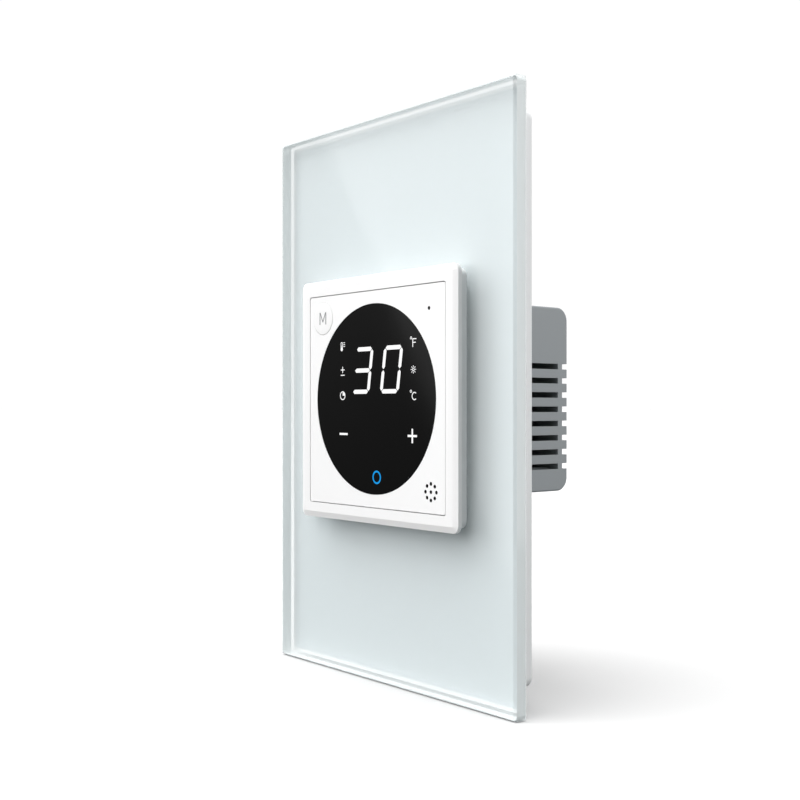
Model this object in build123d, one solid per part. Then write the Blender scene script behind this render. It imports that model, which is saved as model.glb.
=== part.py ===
"""Flush wall thermostat for a single-gang wall box, as an assembly of separate pieces.

Millimetres. The origin is on the wall plane, midway between the two box screws.
+Z is up, +X is to the right as seen from the room, and -Y points into the room.
Everything behind the wall plane (y > 0) sits inside the wall box.

Front panel   : glass, its colour film, bonding tape and the carrier that plugs into the base.
Display unit  : housing, bezel, face plate, round display window, boards, sensor and mode button.
Base          : moulded base frame, with the grey power housing on its back.
Power housing : mains board, relay, transformer and six rising-cage wire terminals.
"""

import os
from math import cos, hypot, radians, sin

from build123d import *

# ---------------------------------------------------------------- driving sizes
# Glass panel
PANEL_WIDTH = 81.0
PANEL_HEIGHT = 125.0
GLASS_THICKNESS = 3.5
GLASS_CHAMFER = 0.5
FILM_THICKNESS = 0.2
FILM_INSET = 0.1
FILM_TO_BASE = 0.05
TAPE_THICKNESS = 0.5
TAPE_WIDTH = 5.0
TAPE_INSET = 0.5
TAPE_CORNER = 1.0
CARRIER_THICKNESS = 1.5
CARRIER_GAP = 0.4
CARRIER_OPENING_MARGIN = 1.0

# Base frame
BASE_SIDE_INSET = 4.0
BASE_END_INSET = 4.6
BASE_DEPTH = 5.45
BASE_FLOOR = 1.6
BASE_RIM = 1.6
BASE_CORNER = 2.0
BASE_BACK_ROUND = 0.8
BOX_SCREW_SPACING = 83.3
BOX_SCREW_HOLE = 4.5
SCREW_HEAD_ACCESS = 9.0
PANEL_PEG_RADIUS = 1.5
PANEL_PEG_INSET = 6.0
PANEL_PEG_SHORT = 0.4
PANEL_PEG_CHAMFER = 0.3
PEG_SLIT_WIDTH = 0.5
PEG_SLIT_START = 0.5
PEG_CLEARANCE = 0.1
PEG_WALL = 1.4
RIB_THICKNESS = 1.0
RIB_GAP = 0.3
RIB_END_GAP = 8.0
RIB_SCREW_GAP = 8.3
HOUSING_RECESS = 0.3
RECESS_CLEARANCE = 0.1

# Display unit
BEZEL_SIZE = 54.4
BEZEL_BORDER = 3.4
BEZEL_THICKNESS = 1.3
BEZEL_CORNER = 1.6
BEZEL_BEVEL_WIDTH = 1.3
BEZEL_BEVEL_DEPTH = 0.35
BEZEL_PROUD = 3.0
SKIRT_SIDE_STEP = 0.4
SKIRT_END_STEP = 0.9
SKIRT_CORNER = 1.6
SKIRT_SEAT = 2.8
NECK_CLEARANCE = 0.3
NECK_CORNER = 2.0
NECK_INNER_TRIM = 1.0
NECK_WALL = 1.5
HOUSING_FLOOR = 1.2
HOUSING_FLOOR_GAP = 0.8
FACE_RECESS = 0.05
FACE_GAP = 0.2
FACE_CORNER = 0.5
WINDOW_WEB = 1.854
WINDOW_GAP = 0.05
DISPLAY_PEG_RADIUS = 0.9
DISPLAY_PEG_SIDE_INSET = 0.3
DISPLAY_PEG_END_INSET = 11.75
DISPLAY_PEG_TIP_GAP = 0.1
DISPLAY_PEG_ROOT = 0.5

# Button, status hole and grille, placed from the face plate's edges
CONTROL_INSET = 5.0
BUTTON_RADIUS = 3.65
BUTTON_GAP = 0.12
BUTTON_PROUD = 0.1
BUTTON_EDGE_ROUND = 0.25
BUTTON_FLANGE = 0.5
BUTTON_FLANGE_GAP = 0.05
BUTTON_FLANGE_THICKNESS = 0.5
BUTTON_FLANGE_TRIM = 0.1
BUTTON_POCKET_GAP = 0.3
BUTTON_POST = 0.75
BUTTON_POST_RADIUS = 1.4
BUTTON_TRAVEL = 0.4
STATUS_HOLE = 0.8
GRILLE_INSET = 4.4
GRILLE_RING = 1.7
GRILLE_HOLE = 0.8
GRILLE_COUNT = 8

# Display electronics
DISPLAY_BOARD_THICKNESS = 1.2
DISPLAY_BOARD_DEPTH = 5.0
BOARD_CORNER = 0.8
BOARD_CLEARANCE = 0.3
BOARD_POST_INSET = 2.4
BOARD_POST_SHIFT = 6.0
BOARD_POST_RADIUS = 1.6
BOARD_SCREW_RADIUS = 0.6
BOARD_SCREW_HOLE = 0.9
BOARD_SCREW_BORE = 0.65
BOARD_SCREW_HEAD = 1.5
BOARD_SCREW_HEAD_HEIGHT = 0.9
BOARD_SCREW_SHORT = 0.2
BOARD_DRIVE = (1.6, 0.35, 0.5)
SEGMENT_SIDE_INSET = 4.8
SEGMENT_TOP_INSET = 6.9
SEGMENT_BOTTOM_Z = -1.1
SEGMENT_CORNER = 0.5
SEGMENT_CELL_CORNER = 0.4
SEGMENT_RIM = 0.8
SEGMENT_BOTTOM = 0.8
ICON_CELL_WIDTH = 4.4
ICON_ROWS = 3
DIGIT_COUNT = 2
DIFFUSER_THICKNESS = 0.3
DIFFUSER_GAP = 0.4
TOUCH_SPRING_RADIUS = 2.2
TOUCH_SPRING_WIRE = 0.35
TOUCH_SPRING_TURNS = 3
TOUCH_SPRING_GAP = 0.05
TOUCH_SIDE_INSET = 8.8
TOUCH_SIDE_Z = -7.8
TOUCH_RIM_INSET = 4.2
SWITCH_SIZE = 4.5
SWITCH_CORNER = 0.3
SWITCH_STEM_RADIUS = 0.9
SWITCH_STEM_PROUD = 0.5
SWITCH_FLOOR = 0.2
STEM_CLEARANCE = 0.1
SENSOR_BEAD = 0.8
SENSOR_BEHIND_FACE = 1.6
SENSOR_LEG = 0.25
SENSOR_LEG_SPACING = 0.9
SHROUD_CLEARANCE = 0.1
SHROUD_WALL = 0.5
LED_WIDTH = 1.6
LED_LENGTH = 0.8
LED_HEIGHT = 0.7

# Plug-in connector between the two boards
PIN_COLUMNS = 5
PIN_ROWS = 2
PIN_PITCH = 2.54
PIN_SIZE = 0.64
PIN_CLEARANCE = 0.12
PIN_BOARD_CLEARANCE = 0.1
PIN_START = 0.1
PIN_END_GAP = 2.9
SOCKET_HOLE_SPARE = 0.5
CONNECTOR_MARGIN = 0.5
HEADER_HEIGHT = 2.0
HEADER_TRIM = 0.4
SOCKET_PROUD = 0.4
CONNECTOR_CLEARANCE = 0.5

# Power housing
POWER_WIDTH = 42.0
POWER_HEIGHT = 41.0
POWER_DEPTH = 27.0
POWER_WALL = 1.8
POWER_REAR_WALL = 3.1
POWER_REAR_ROUND = 3.0
POWER_EDGE_ROUND = 0.4
VENT_COUNT = 8
VENT_PITCH = 3.18
VENT_HEIGHT = 1.24
VENT_TOP_Z = 7.3
VENT_START_Y = 3.0
GROOVE_DEPTH = 1.75
POST_INSET = 1.5
POST_RADIUS = 2.0
POST_ROOT = 0.5
HOUSING_SCREW_RADIUS = 1.0
HOUSING_SCREW_BITE = 7.0
HOUSING_SCREW_FIT = 0.02
HOUSING_SCREW_SPARE = 0.5
SCREW_SLIDE_CLEARANCE = 0.2
HOUSING_SCREW_HEAD = 1.9
HOUSING_SCREW_HEAD_HEIGHT = 1.1
HOUSING_SCREW_SINK = 0.6
HEAD_CLEARANCE = 0.2
HOUSING_DRIVE = (2.2, 0.45, 0.6)
COVER_THICKNESS = 1.5
COVER_GAP = 0.2
COVER_SLEEVE_RADIUS = 2.0
POWER_BOARD_THICKNESS = 1.6
RISE_GAP = 1.8

# Power components, (x, z) is the centre of each on the board, and rise its height over the board
RELAY = dict(x=-9.6, z=-5.4, width=15.5, height=19.0, rise=12.5, corner=0.5, chamfer=0.3)
TRANSFORMER = dict(x=8.6, z=-9.0, width=15.0, height=13.0, rise=11.5, corner=0.4, foot=1.0)
CORE_LEG = 2.6
COIL_THICKNESS = 5.5
COIL_CLEARANCE = 0.05
COIL_OVERHANG = 0.6
CAPACITOR = dict(x=4.0, z=2.6, radius=3.6, rise=11.0, round=0.5)
CAN_GROOVE = dict(start=1.6, width=0.6, depth=0.3)
FUSE = dict(x=13.0, z=2.8, radius=2.2, rise=8.0, round=0.4)
VARISTOR = dict(x=-10.0, z=6.2, width=9.0, height=3.0, rise=10.0, round=0.6, foot_width=2.8, foot_height=1.5)

# Wire terminals
TERMINAL_COUNT = 6
TERMINAL_PITCH = 5.0
BLOCK_SIDE = 0.45
BLOCK_HEIGHT = 9.4
BLOCK_TOP_GAP = 0.2
BLOCK_REAR_GAP = 0.3
TERMINAL_CELL_WALL = 0.7
TERMINAL_HEAD_WALL = 0.8
TERMINAL_HEAD_HEIGHT = 1.3
TERMINAL_HEAD_SINK = 0.2
TERMINAL_HEAD_CLEARANCE = 0.1
TERMINAL_SHANK_CLEARANCE = 0.1
TERMINAL_SEAT = 0.6
DRIVE_SLOT_WIDTH = 0.6
DRIVE_SLOT_DEPTH = 0.7
DRIVE_HOLE_CLEARANCE = 0.2
CLAMP_DEPTH = 5.6
CLAMP_WALL = 0.9
CLAMP_SIDE_WALL = 0.45
CLAMP_SCREW_WALL = 0.42
CLAMP_TOP_WALL = 1.4
CLAMP_TRAVEL = 2.0
CLAMP_CLEARANCE = 0.15
THREAD_CLEARANCE = 0.08
WIRE_ENTRY_LEDGE = 0.45
WIRE_SPACE = 3.2
CONTACT_BAR = 0.8
CONTACT_BAR_SIDE_GAP = 0.35
CONTACT_BAR_BITE = 0.8
CONTACT_TO_CLAMP = 0.6
SOLDER_PIN = 0.5

# Cutting shapes run this far past what they cut
CUT = 1.0

# ---------------------------------------------------------------- derived sizes
BASE_WIDTH = PANEL_WIDTH - 2 * BASE_SIDE_INSET
BASE_HEIGHT = PANEL_HEIGHT - 2 * BASE_END_INSET
BASE_FRONT_Y = -BASE_DEPTH
FILM_BACK_Y = BASE_FRONT_Y - FILM_TO_BASE
GLASS_BACK_Y = FILM_BACK_Y - FILM_THICKNESS
GLASS_FRONT_Y = GLASS_BACK_Y - GLASS_THICKNESS
FLOOR_Y = -BASE_FLOOR
CARRIER_FRONT_Y = FILM_BACK_Y + TAPE_THICKNESS
CARRIER_BACK_Y = CARRIER_FRONT_Y + CARRIER_THICKNESS
CARRIER_WIDTH = BASE_WIDTH - 2 * (BASE_RIM + CARRIER_GAP)
CARRIER_HEIGHT = BASE_HEIGHT - 2 * (BASE_RIM + CARRIER_GAP)
PANEL_PEG_X = CARRIER_WIDTH / 2 - PANEL_PEG_INSET
PANEL_PEG_Z = CARRIER_HEIGHT / 2 - PANEL_PEG_INSET

BEZEL_FRONT_Y = GLASS_FRONT_Y - BEZEL_PROUD
BEZEL_BACK_Y = BEZEL_FRONT_Y + BEZEL_THICKNESS
BEZEL_OPENING = BEZEL_SIZE - 2 * BEZEL_BORDER
FACE_SIZE = BEZEL_OPENING - 2 * FACE_GAP
FACE_FRONT_Y = BEZEL_FRONT_Y + FACE_RECESS
SKIRT_WIDTH = BEZEL_SIZE - 2 * SKIRT_SIDE_STEP
SKIRT_HEIGHT = BEZEL_SIZE - 2 * SKIRT_END_STEP
NECK_SIZE = SKIRT_HEIGHT - 2 * SKIRT_SEAT
GLASS_OPENING = NECK_SIZE + 2 * NECK_CLEARANCE
CARRIER_OPENING = GLASS_OPENING + 2 * CARRIER_OPENING_MARGIN
HOUSING_BACK_Y = FLOOR_Y - HOUSING_FLOOR_GAP
HOUSING_INSIDE = NECK_SIZE - 2 * NECK_WALL
HOUSING_FLOOR_Y = HOUSING_BACK_Y - HOUSING_FLOOR
DISPLAY_BOARD_Y = BEZEL_FRONT_Y + DISPLAY_BOARD_DEPTH
DISPLAY_BOARD_BACK_Y = DISPLAY_BOARD_Y + DISPLAY_BOARD_THICKNESS
DISPLAY_BOARD_SIZE = HOUSING_INSIDE - 2 * BOARD_CLEARANCE
DISPLAY_PEG_X = NECK_SIZE / 2 - DISPLAY_PEG_RADIUS - DISPLAY_PEG_SIDE_INSET
DISPLAY_PEG_Z = NECK_SIZE / 2 - DISPLAY_PEG_END_INSET
CONTROL_OFFSET = FACE_SIZE / 2 - CONTROL_INSET
GRILLE_OFFSET = FACE_SIZE / 2 - GRILLE_INSET
WINDOW_RADIUS = hypot(CONTROL_OFFSET, CONTROL_OFFSET) - BUTTON_RADIUS - WINDOW_WEB
SEGMENT_WIDTH = 2 * (WINDOW_RADIUS - SEGMENT_SIDE_INSET)
SEGMENT_TOP_Z = WINDOW_RADIUS - SEGMENT_TOP_INSET
SEGMENT_HEIGHT = SEGMENT_TOP_Z - SEGMENT_BOTTOM_Z
SEGMENT_CENTRE_Z = (SEGMENT_TOP_Z + SEGMENT_BOTTOM_Z) / 2
SEGMENT_FRONT_Y = BEZEL_BACK_Y + DIFFUSER_GAP + DIFFUSER_THICKNESS
TOUCH_SIDE_X = WINDOW_RADIUS - TOUCH_SIDE_INSET
TOUCH_LOWEST_Z = TOUCH_RIM_INSET - WINDOW_RADIUS
FLANGE_FRONT_Y = BEZEL_BACK_Y + BUTTON_FLANGE_GAP
FLANGE_BACK_Y = FLANGE_FRONT_Y + BUTTON_FLANGE_THICKNESS
STEM_FRONT_Y = FLANGE_BACK_Y + BUTTON_POST
STEM_BACK_Y = DISPLAY_BOARD_Y - SWITCH_FLOOR - BUTTON_TRAVEL
SWITCH_FRONT_Y = STEM_FRONT_Y + SWITCH_STEM_PROUD

POWER_FRONT_Y = -HOUSING_RECESS
POWER_INSIDE_WIDTH = POWER_WIDTH - 2 * POWER_WALL
POWER_INSIDE_HEIGHT = POWER_HEIGHT - 2 * POWER_WALL
POWER_REAR_INSIDE_Y = POWER_DEPTH - POWER_REAR_WALL
TALLEST_RISE = max(part["rise"] for part in (RELAY, TRANSFORMER, CAPACITOR, FUSE, VARISTOR))
POWER_BOARD_BACK_Y = POWER_REAR_INSIDE_Y - RISE_GAP - TALLEST_RISE
POWER_BOARD_Y = POWER_BOARD_BACK_Y - POWER_BOARD_THICKNESS
COVER_BACK_Y = POWER_FRONT_Y + COVER_THICKNESS
POWER_BOARD_WIDTH = POWER_INSIDE_WIDTH - 2 * BOARD_CLEARANCE
POWER_BOARD_HEIGHT = POWER_INSIDE_HEIGHT - 2 * BOARD_CLEARANCE
POST_X = POWER_INSIDE_WIDTH / 2 - POST_INSET
POST_Z = POWER_INSIDE_HEIGHT / 2 - POST_INSET
HOUSING_SCREW_TIP_Y = POWER_BOARD_BACK_Y + HOUSING_SCREW_BITE
HOUSING_SCREW_SEAT_Y = FLOOR_Y + HOUSING_SCREW_SINK
HOUSING_SCREW_HEAD_Y = HOUSING_SCREW_SEAT_Y - HOUSING_SCREW_HEAD_HEIGHT
SOCKET_FRONT_Y = -SOCKET_PROUD
PIN_TIP_Y = POWER_BOARD_Y - PIN_END_GAP
SOCKET_WIDTH = PIN_COLUMNS * PIN_PITCH + CONNECTOR_MARGIN
SOCKET_HEIGHT = PIN_ROWS * PIN_PITCH + CONNECTOR_MARGIN
FACE_BUTTON_CENTRE = (-CONTROL_OFFSET, CONTROL_OFFSET)
STATUS_CENTRE = (CONTROL_OFFSET, CONTROL_OFFSET)
GRILLE_CENTRE = (GRILLE_OFFSET, -GRILLE_OFFSET)

# Each terminal, from the rear wall forward: screw head, seat, rising cage, contact bar, wire.
BLOCK_BACK_Y = POWER_REAR_INSIDE_Y - BLOCK_REAR_GAP
BLOCK_WIDTH = TERMINAL_COUNT * TERMINAL_PITCH + 2 * BLOCK_SIDE
SCREW_HEAD_BACK_Y = BLOCK_BACK_Y - TERMINAL_HEAD_SINK
SEAT_BACK_Y = SCREW_HEAD_BACK_Y - TERMINAL_HEAD_HEIGHT
SEAT_FRONT_Y = SEAT_BACK_Y - TERMINAL_SEAT
CLAMP_BACK_Y = SEAT_FRONT_Y - CLAMP_TRAVEL - CLAMP_CLEARANCE
CLAMP_WINDOW_BACK_Y = CLAMP_BACK_Y - CLAMP_TOP_WALL
BAR_BACK_Y = CLAMP_WINDOW_BACK_Y - CONTACT_TO_CLAMP
BAR_FRONT_Y = BAR_BACK_Y - CONTACT_BAR
CLAMP_WINDOW_FRONT_Y = BAR_FRONT_Y - WIRE_SPACE
CLAMP_FRONT_Y = CLAMP_WINDOW_FRONT_Y - CLAMP_WALL
CELL_FRONT_Y = CLAMP_FRONT_Y - CLAMP_CLEARANCE
BLOCK_TOP_Z = POWER_INSIDE_HEIGHT / 2 - BLOCK_TOP_GAP
TERMINAL_Z = BLOCK_TOP_Z - BLOCK_HEIGHT / 2
BLOCK_BOTTOM_Z = TERMINAL_Z - BLOCK_HEIGHT / 2
CELL_DEPTH = CLAMP_DEPTH + 2 * CLAMP_CLEARANCE
CELL_WIDTH = TERMINAL_PITCH - TERMINAL_CELL_WALL
CLAMP_WIDTH = CELL_WIDTH - 2 * CLAMP_CLEARANCE
TERMINAL_SCREW_RADIUS = CLAMP_WIDTH / 2 - CLAMP_SCREW_WALL - THREAD_CLEARANCE
TERMINAL_SCREW_HEAD = (TERMINAL_PITCH - TERMINAL_HEAD_WALL) / 2 - TERMINAL_HEAD_CLEARANCE
WIRE_ENTRY_WIDTH = CELL_WIDTH - 2 * WIRE_ENTRY_LEDGE
CONTACT_BAR_WIDTH = CLAMP_WIDTH - 2 * (CLAMP_SIDE_WALL + CONTACT_BAR_SIDE_GAP)


# ---------------------------------------------------------------- helpers
def block(x0, x1, y0, y1, z0, z1):
    """A box between two opposite corners."""
    centre = Pos((x0 + x1) / 2, (y0 + y1) / 2, (z0 + z1) / 2)
    return centre * Box(abs(x1 - x0), abs(y1 - y0), abs(z1 - z0))


def slab(width, height, y0, y1, corner=0.0, x=0.0, z=0.0):
    """A plate parallel to the wall, from y0 to y1, with rounded corners."""
    plate = block(x - width / 2, x + width / 2, y0, y1, z - height / 2, z + height / 2)
    if corner <= 0:
        return plate
    return fillet(plate.edges().filter_by(Axis.Y), min(corner, width / 2.1, height / 2.1))


def rod(x, z, y0, y1, radius):
    """A round bar square to the wall, from y0 to y1."""
    return Pos(x, (y0 + y1) / 2, z) * Rot(90, 0, 0) * Cylinder(radius, abs(y1 - y0))


def tube(x, z, y0, y1, outer, inner):
    """A round tube square to the wall."""
    return rod(x, z, y0, y1, outer) - rod(x, z, y0 - CUT, y1 + CUT, inner)


def corners(x, z):
    """The four places (+-x, +-z)."""
    return [(sx * x, sz * z) for sx in (-1, 1) for sz in (-1, 1)]


def edges_at_y(shape, y):
    """The edges of a shape that lie in the plane at y."""
    tolerance = 0.001
    return shape.edges().filter_by_position(Axis.Y, y - tolerance, y + tolerance)


def cross_slot(x, z, head_y, drive):
    """A cross recess in a screw head whose face is at head_y; drive is its span, width and depth."""
    span, width, depth = drive
    bar = slab(span, width, head_y - CUT, head_y + depth, 0.0, x, z)
    return bar + slab(width, span, head_y - CUT, head_y + depth, 0.0, x, z)


def grille_points():
    """Centres of the sensor grille's holes: a ring and one in its middle."""
    cx, cz = GRILLE_CENTRE
    turn = 360 / GRILLE_COUNT
    ring = [
        (cx + GRILLE_RING * cos(radians(i * turn)), cz + GRILLE_RING * sin(radians(i * turn)))
        for i in range(GRILLE_COUNT)
    ]
    return [*ring, (cx, cz)]


def pin_points():
    """Centres of the connector's pins."""
    return [
        ((i - (PIN_COLUMNS - 1) / 2) * PIN_PITCH, (j - (PIN_ROWS - 1) / 2) * PIN_PITCH)
        for i in range(PIN_COLUMNS)
        for j in range(PIN_ROWS)
    ]


def terminal_x(index):
    """Centre of a wire terminal, numbered from 0 at -X."""
    return (index - (TERMINAL_COUNT - 1) / 2) * TERMINAL_PITCH


def vent_heights():
    """Centres of the ventilation slots, from the top down."""
    return [VENT_TOP_Z - i * VENT_PITCH for i in range(VENT_COUNT)]


# ---------------------------------------------------------------- front panel
def make_glass_panel():
    """Tempered glass plate with ground edges and the square opening for the display unit."""
    glass = slab(PANEL_WIDTH, PANEL_HEIGHT, GLASS_FRONT_Y, GLASS_BACK_Y)
    rims = edges_at_y(glass, GLASS_FRONT_Y) + edges_at_y(glass, GLASS_BACK_Y)
    glass = chamfer(rims, GLASS_CHAMFER)
    opening = slab(GLASS_OPENING, GLASS_OPENING, GLASS_FRONT_Y - CUT, GLASS_BACK_Y + CUT, NECK_CORNER)
    return glass - opening


def make_colour_film():
    """Opaque white film on the back of the glass, a little short of its edges."""
    width = PANEL_WIDTH - 2 * (GLASS_CHAMFER + FILM_INSET)
    height = PANEL_HEIGHT - 2 * (GLASS_CHAMFER + FILM_INSET)
    film = slab(width, height, GLASS_BACK_Y, FILM_BACK_Y)
    return film - slab(GLASS_OPENING, GLASS_OPENING, GLASS_BACK_Y - CUT, FILM_BACK_Y + CUT, NECK_CORNER)


def make_bonding_tape():
    """Double-sided foam tape ring between film and carrier."""
    width = CARRIER_WIDTH - 2 * TAPE_INSET
    height = CARRIER_HEIGHT - 2 * TAPE_INSET
    tape = slab(width, height, FILM_BACK_Y, CARRIER_FRONT_Y, TAPE_CORNER)
    through = (FILM_BACK_Y - CUT, CARRIER_FRONT_Y + CUT)
    return tape - slab(width - 2 * TAPE_WIDTH, height - 2 * TAPE_WIDTH, *through)


def make_panel_carrier():
    """Plastic plate taped to the glass, with four split pegs that plug into the base."""
    carrier = slab(CARRIER_WIDTH, CARRIER_HEIGHT, CARRIER_FRONT_Y, CARRIER_BACK_Y, BASE_CORNER)
    through = (CARRIER_FRONT_Y - CUT, CARRIER_BACK_Y + CUT)
    carrier -= slab(CARRIER_OPENING, CARRIER_OPENING, *through, NECK_CORNER)
    for side in (-1, 1):
        carrier -= rod(0, side * BOX_SCREW_SPACING / 2, *through, SCREW_HEAD_ACCESS / 2)
    tip_y = -PANEL_PEG_SHORT
    for x, z in corners(PANEL_PEG_X, PANEL_PEG_Z):
        peg = rod(x, z, CARRIER_BACK_Y, tip_y, PANEL_PEG_RADIUS)
        peg = chamfer(edges_at_y(peg, tip_y), PANEL_PEG_CHAMFER)
        slit_depth = (CARRIER_BACK_Y + PEG_SLIT_START, tip_y + CUT)
        slit = slab(PEG_SLIT_WIDTH, 2 * (PANEL_PEG_RADIUS + CUT), *slit_depth, 0.0, x, z)
        carrier += peg - slit
    return carrier


# ---------------------------------------------------------------- base frame
def make_base_frame():
    """White moulded tray screwed to the wall box; it carries everything else."""
    frame = slab(BASE_WIDTH, BASE_HEIGHT, BASE_FRONT_Y, 0, BASE_CORNER)
    frame = fillet(edges_at_y(frame, 0), BASE_BACK_ROUND)
    pocket_width = BASE_WIDTH - 2 * BASE_RIM
    pocket_height = BASE_HEIGHT - 2 * BASE_RIM
    frame -= slab(pocket_width, pocket_height, BASE_FRONT_Y - CUT, FLOOR_Y, BASE_CORNER - BASE_RIM)

    rib_top_y = CARRIER_BACK_Y + RIB_GAP
    rib_heights = (BOX_SCREW_SPACING / 2 - RIB_SCREW_GAP, pocket_height / 2 - RIB_END_GAP)
    for rib_z in rib_heights:
        for side in (-1, 1):
            frame += slab(pocket_width, RIB_THICKNESS, rib_top_y, FLOOR_Y, 0.0, 0.0, side * rib_z)
    through = (BASE_FRONT_Y - CUT, CUT)
    for x, z in corners(PANEL_PEG_X, PANEL_PEG_Z):
        frame += rod(x, z, rib_top_y, FLOOR_Y, PANEL_PEG_RADIUS + PEG_WALL)
        frame -= rod(x, z, *through, PANEL_PEG_RADIUS + PEG_CLEARANCE)
    for side in (-1, 1):
        frame -= rod(0, side * BOX_SCREW_SPACING / 2, *through, BOX_SCREW_HOLE / 2)
    for x, z in corners(DISPLAY_PEG_X, DISPLAY_PEG_Z):
        frame -= rod(x, z, *through, DISPLAY_PEG_RADIUS + PEG_CLEARANCE)
    for x, z in corners(POST_X, POST_Z):
        frame -= rod(x, z, *through, HOUSING_SCREW_RADIUS + SCREW_SLIDE_CLEARANCE)
        frame -= rod(x, z, BASE_FRONT_Y, HOUSING_SCREW_SEAT_Y, HOUSING_SCREW_HEAD + HEAD_CLEARANCE)
    frame -= connector_opening(*through)
    recess_width = POWER_WIDTH + 2 * RECESS_CLEARANCE
    recess_height = POWER_HEIGHT + 2 * RECESS_CLEARANCE
    return frame - slab(recess_width, recess_height, POWER_FRONT_Y, CUT)


def connector_opening(y0, y1):
    """The passage for the plug-in connector between the two boards."""
    return slab(SOCKET_WIDTH + 2 * CONNECTOR_CLEARANCE, SOCKET_HEIGHT + 2 * CONNECTOR_CLEARANCE, y0, y1)


# ---------------------------------------------------------------- display unit
def make_front_housing():
    """White tray behind the bezel: a skirt that rests on the glass and a neck through it."""
    skirt = slab(SKIRT_WIDTH, SKIRT_HEIGHT, BEZEL_BACK_Y, GLASS_FRONT_Y, SKIRT_CORNER)
    neck = slab(NECK_SIZE, NECK_SIZE, GLASS_FRONT_Y, HOUSING_BACK_Y, NECK_CORNER)
    housing = skirt + neck
    inside_depth = (BEZEL_BACK_Y - CUT, HOUSING_FLOOR_Y)
    housing -= slab(HOUSING_INSIDE, HOUSING_INSIDE, *inside_depth, NECK_CORNER - NECK_INNER_TRIM)
    x, z = FACE_BUTTON_CENTRE
    pocket_radius = BUTTON_RADIUS + BUTTON_FLANGE + BUTTON_POCKET_GAP
    pocket_back_y = FLANGE_BACK_Y + BUTTON_TRAVEL + BUTTON_POCKET_GAP - BUTTON_FLANGE_GAP
    housing -= rod(x, z, BEZEL_BACK_Y - CUT, pocket_back_y, pocket_radius)
    housing -= connector_opening(HOUSING_FLOOR_Y - CUT, HOUSING_BACK_Y + CUT)
    peg_tip_y = POWER_FRONT_Y - DISPLAY_PEG_TIP_GAP
    for px, pz in corners(DISPLAY_PEG_X, DISPLAY_PEG_Z):
        housing += rod(px, pz, HOUSING_BACK_Y - DISPLAY_PEG_ROOT, peg_tip_y, DISPLAY_PEG_RADIUS)
    for bx, bz in board_posts():
        housing += rod(bx, bz, DISPLAY_BOARD_BACK_Y, HOUSING_FLOOR_Y, BOARD_POST_RADIUS)
        housing -= rod(bx, bz, DISPLAY_BOARD_BACK_Y - CUT, HOUSING_FLOOR_Y, BOARD_SCREW_BORE)
    return housing


def board_posts():
    """Where the display board is screwed to its housing."""
    reach = DISPLAY_BOARD_SIZE / 2 - BOARD_POST_INSET
    return [(-reach, -reach), (0, reach), (reach - BOARD_POST_SHIFT, -reach)]


def make_bezel():
    """Square front ring whose face falls away gently towards a crisp edge."""
    ring = slab(BEZEL_SIZE, BEZEL_SIZE, BEZEL_FRONT_Y, BEZEL_BACK_Y, BEZEL_CORNER)
    front = ring.faces().sort_by(Axis.Y)[0]
    ring = chamfer(front.edges(), BEZEL_BEVEL_WIDTH, BEZEL_BEVEL_DEPTH, reference=front)
    return ring - slab(BEZEL_OPENING, BEZEL_OPENING, BEZEL_FRONT_Y - CUT, BEZEL_BACK_Y + CUT, FACE_CORNER)


def make_face_plate():
    """White square plate with holes for the window, the button, the status light and the sensor."""
    plate = slab(FACE_SIZE, FACE_SIZE, FACE_FRONT_Y, BEZEL_BACK_Y, FACE_CORNER)
    through = (FACE_FRONT_Y - CUT, BEZEL_BACK_Y + CUT)
    plate -= rod(0, 0, *through, WINDOW_RADIUS + WINDOW_GAP)
    plate -= rod(*FACE_BUTTON_CENTRE, *through, BUTTON_RADIUS + BUTTON_GAP)
    plate -= rod(*STATUS_CENTRE, *through, STATUS_HOLE / 2)
    for x, z in grille_points():
        plate -= rod(x, z, *through, GRILLE_HOLE / 2)
    return plate


def make_display_window():
    """Round smoked window over the lit digits and the touch keys."""
    return rod(0, 0, FACE_FRONT_Y, BEZEL_BACK_Y, WINDOW_RADIUS)


def make_mode_button():
    """Round push button with a retaining flange behind the face plate and a post to its switch."""
    x, z = FACE_BUTTON_CENTRE
    front_y = FACE_FRONT_Y - BUTTON_PROUD
    cap = rod(x, z, front_y, FLANGE_FRONT_Y, BUTTON_RADIUS)
    cap = fillet(edges_at_y(cap, front_y), BUTTON_EDGE_ROUND)
    flange_radius = BUTTON_RADIUS + BUTTON_FLANGE
    flange = rod(x, z, FLANGE_FRONT_Y, FLANGE_BACK_Y, flange_radius)
    trim = BUTTON_RADIUS + BUTTON_FLANGE_TRIM
    keep = block(x - trim, x + flange_radius, FLANGE_FRONT_Y, FLANGE_BACK_Y, z - flange_radius, z + trim)
    post = rod(x, z, FLANGE_BACK_Y, STEM_FRONT_Y, BUTTON_POST_RADIUS)
    return cap + (flange & keep) + post


def make_switch_stem():
    """Plunger of the tactile switch; it moves with the button."""
    x, z = FACE_BUTTON_CENTRE
    return rod(x, z, STEM_FRONT_Y, STEM_BACK_Y, SWITCH_STEM_RADIUS)


def make_tactile_switch():
    """Body of the tactile switch under the mode button."""
    x, z = FACE_BUTTON_CENTRE
    body = slab(SWITCH_SIZE, SWITCH_SIZE, SWITCH_FRONT_Y, DISPLAY_BOARD_Y, SWITCH_CORNER, x, z)
    bore_back_y = STEM_BACK_Y + BUTTON_TRAVEL + STEM_CLEARANCE
    return body - rod(x, z, SWITCH_FRONT_Y - CUT, bore_back_y, SWITCH_STEM_RADIUS + STEM_CLEARANCE)


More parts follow.
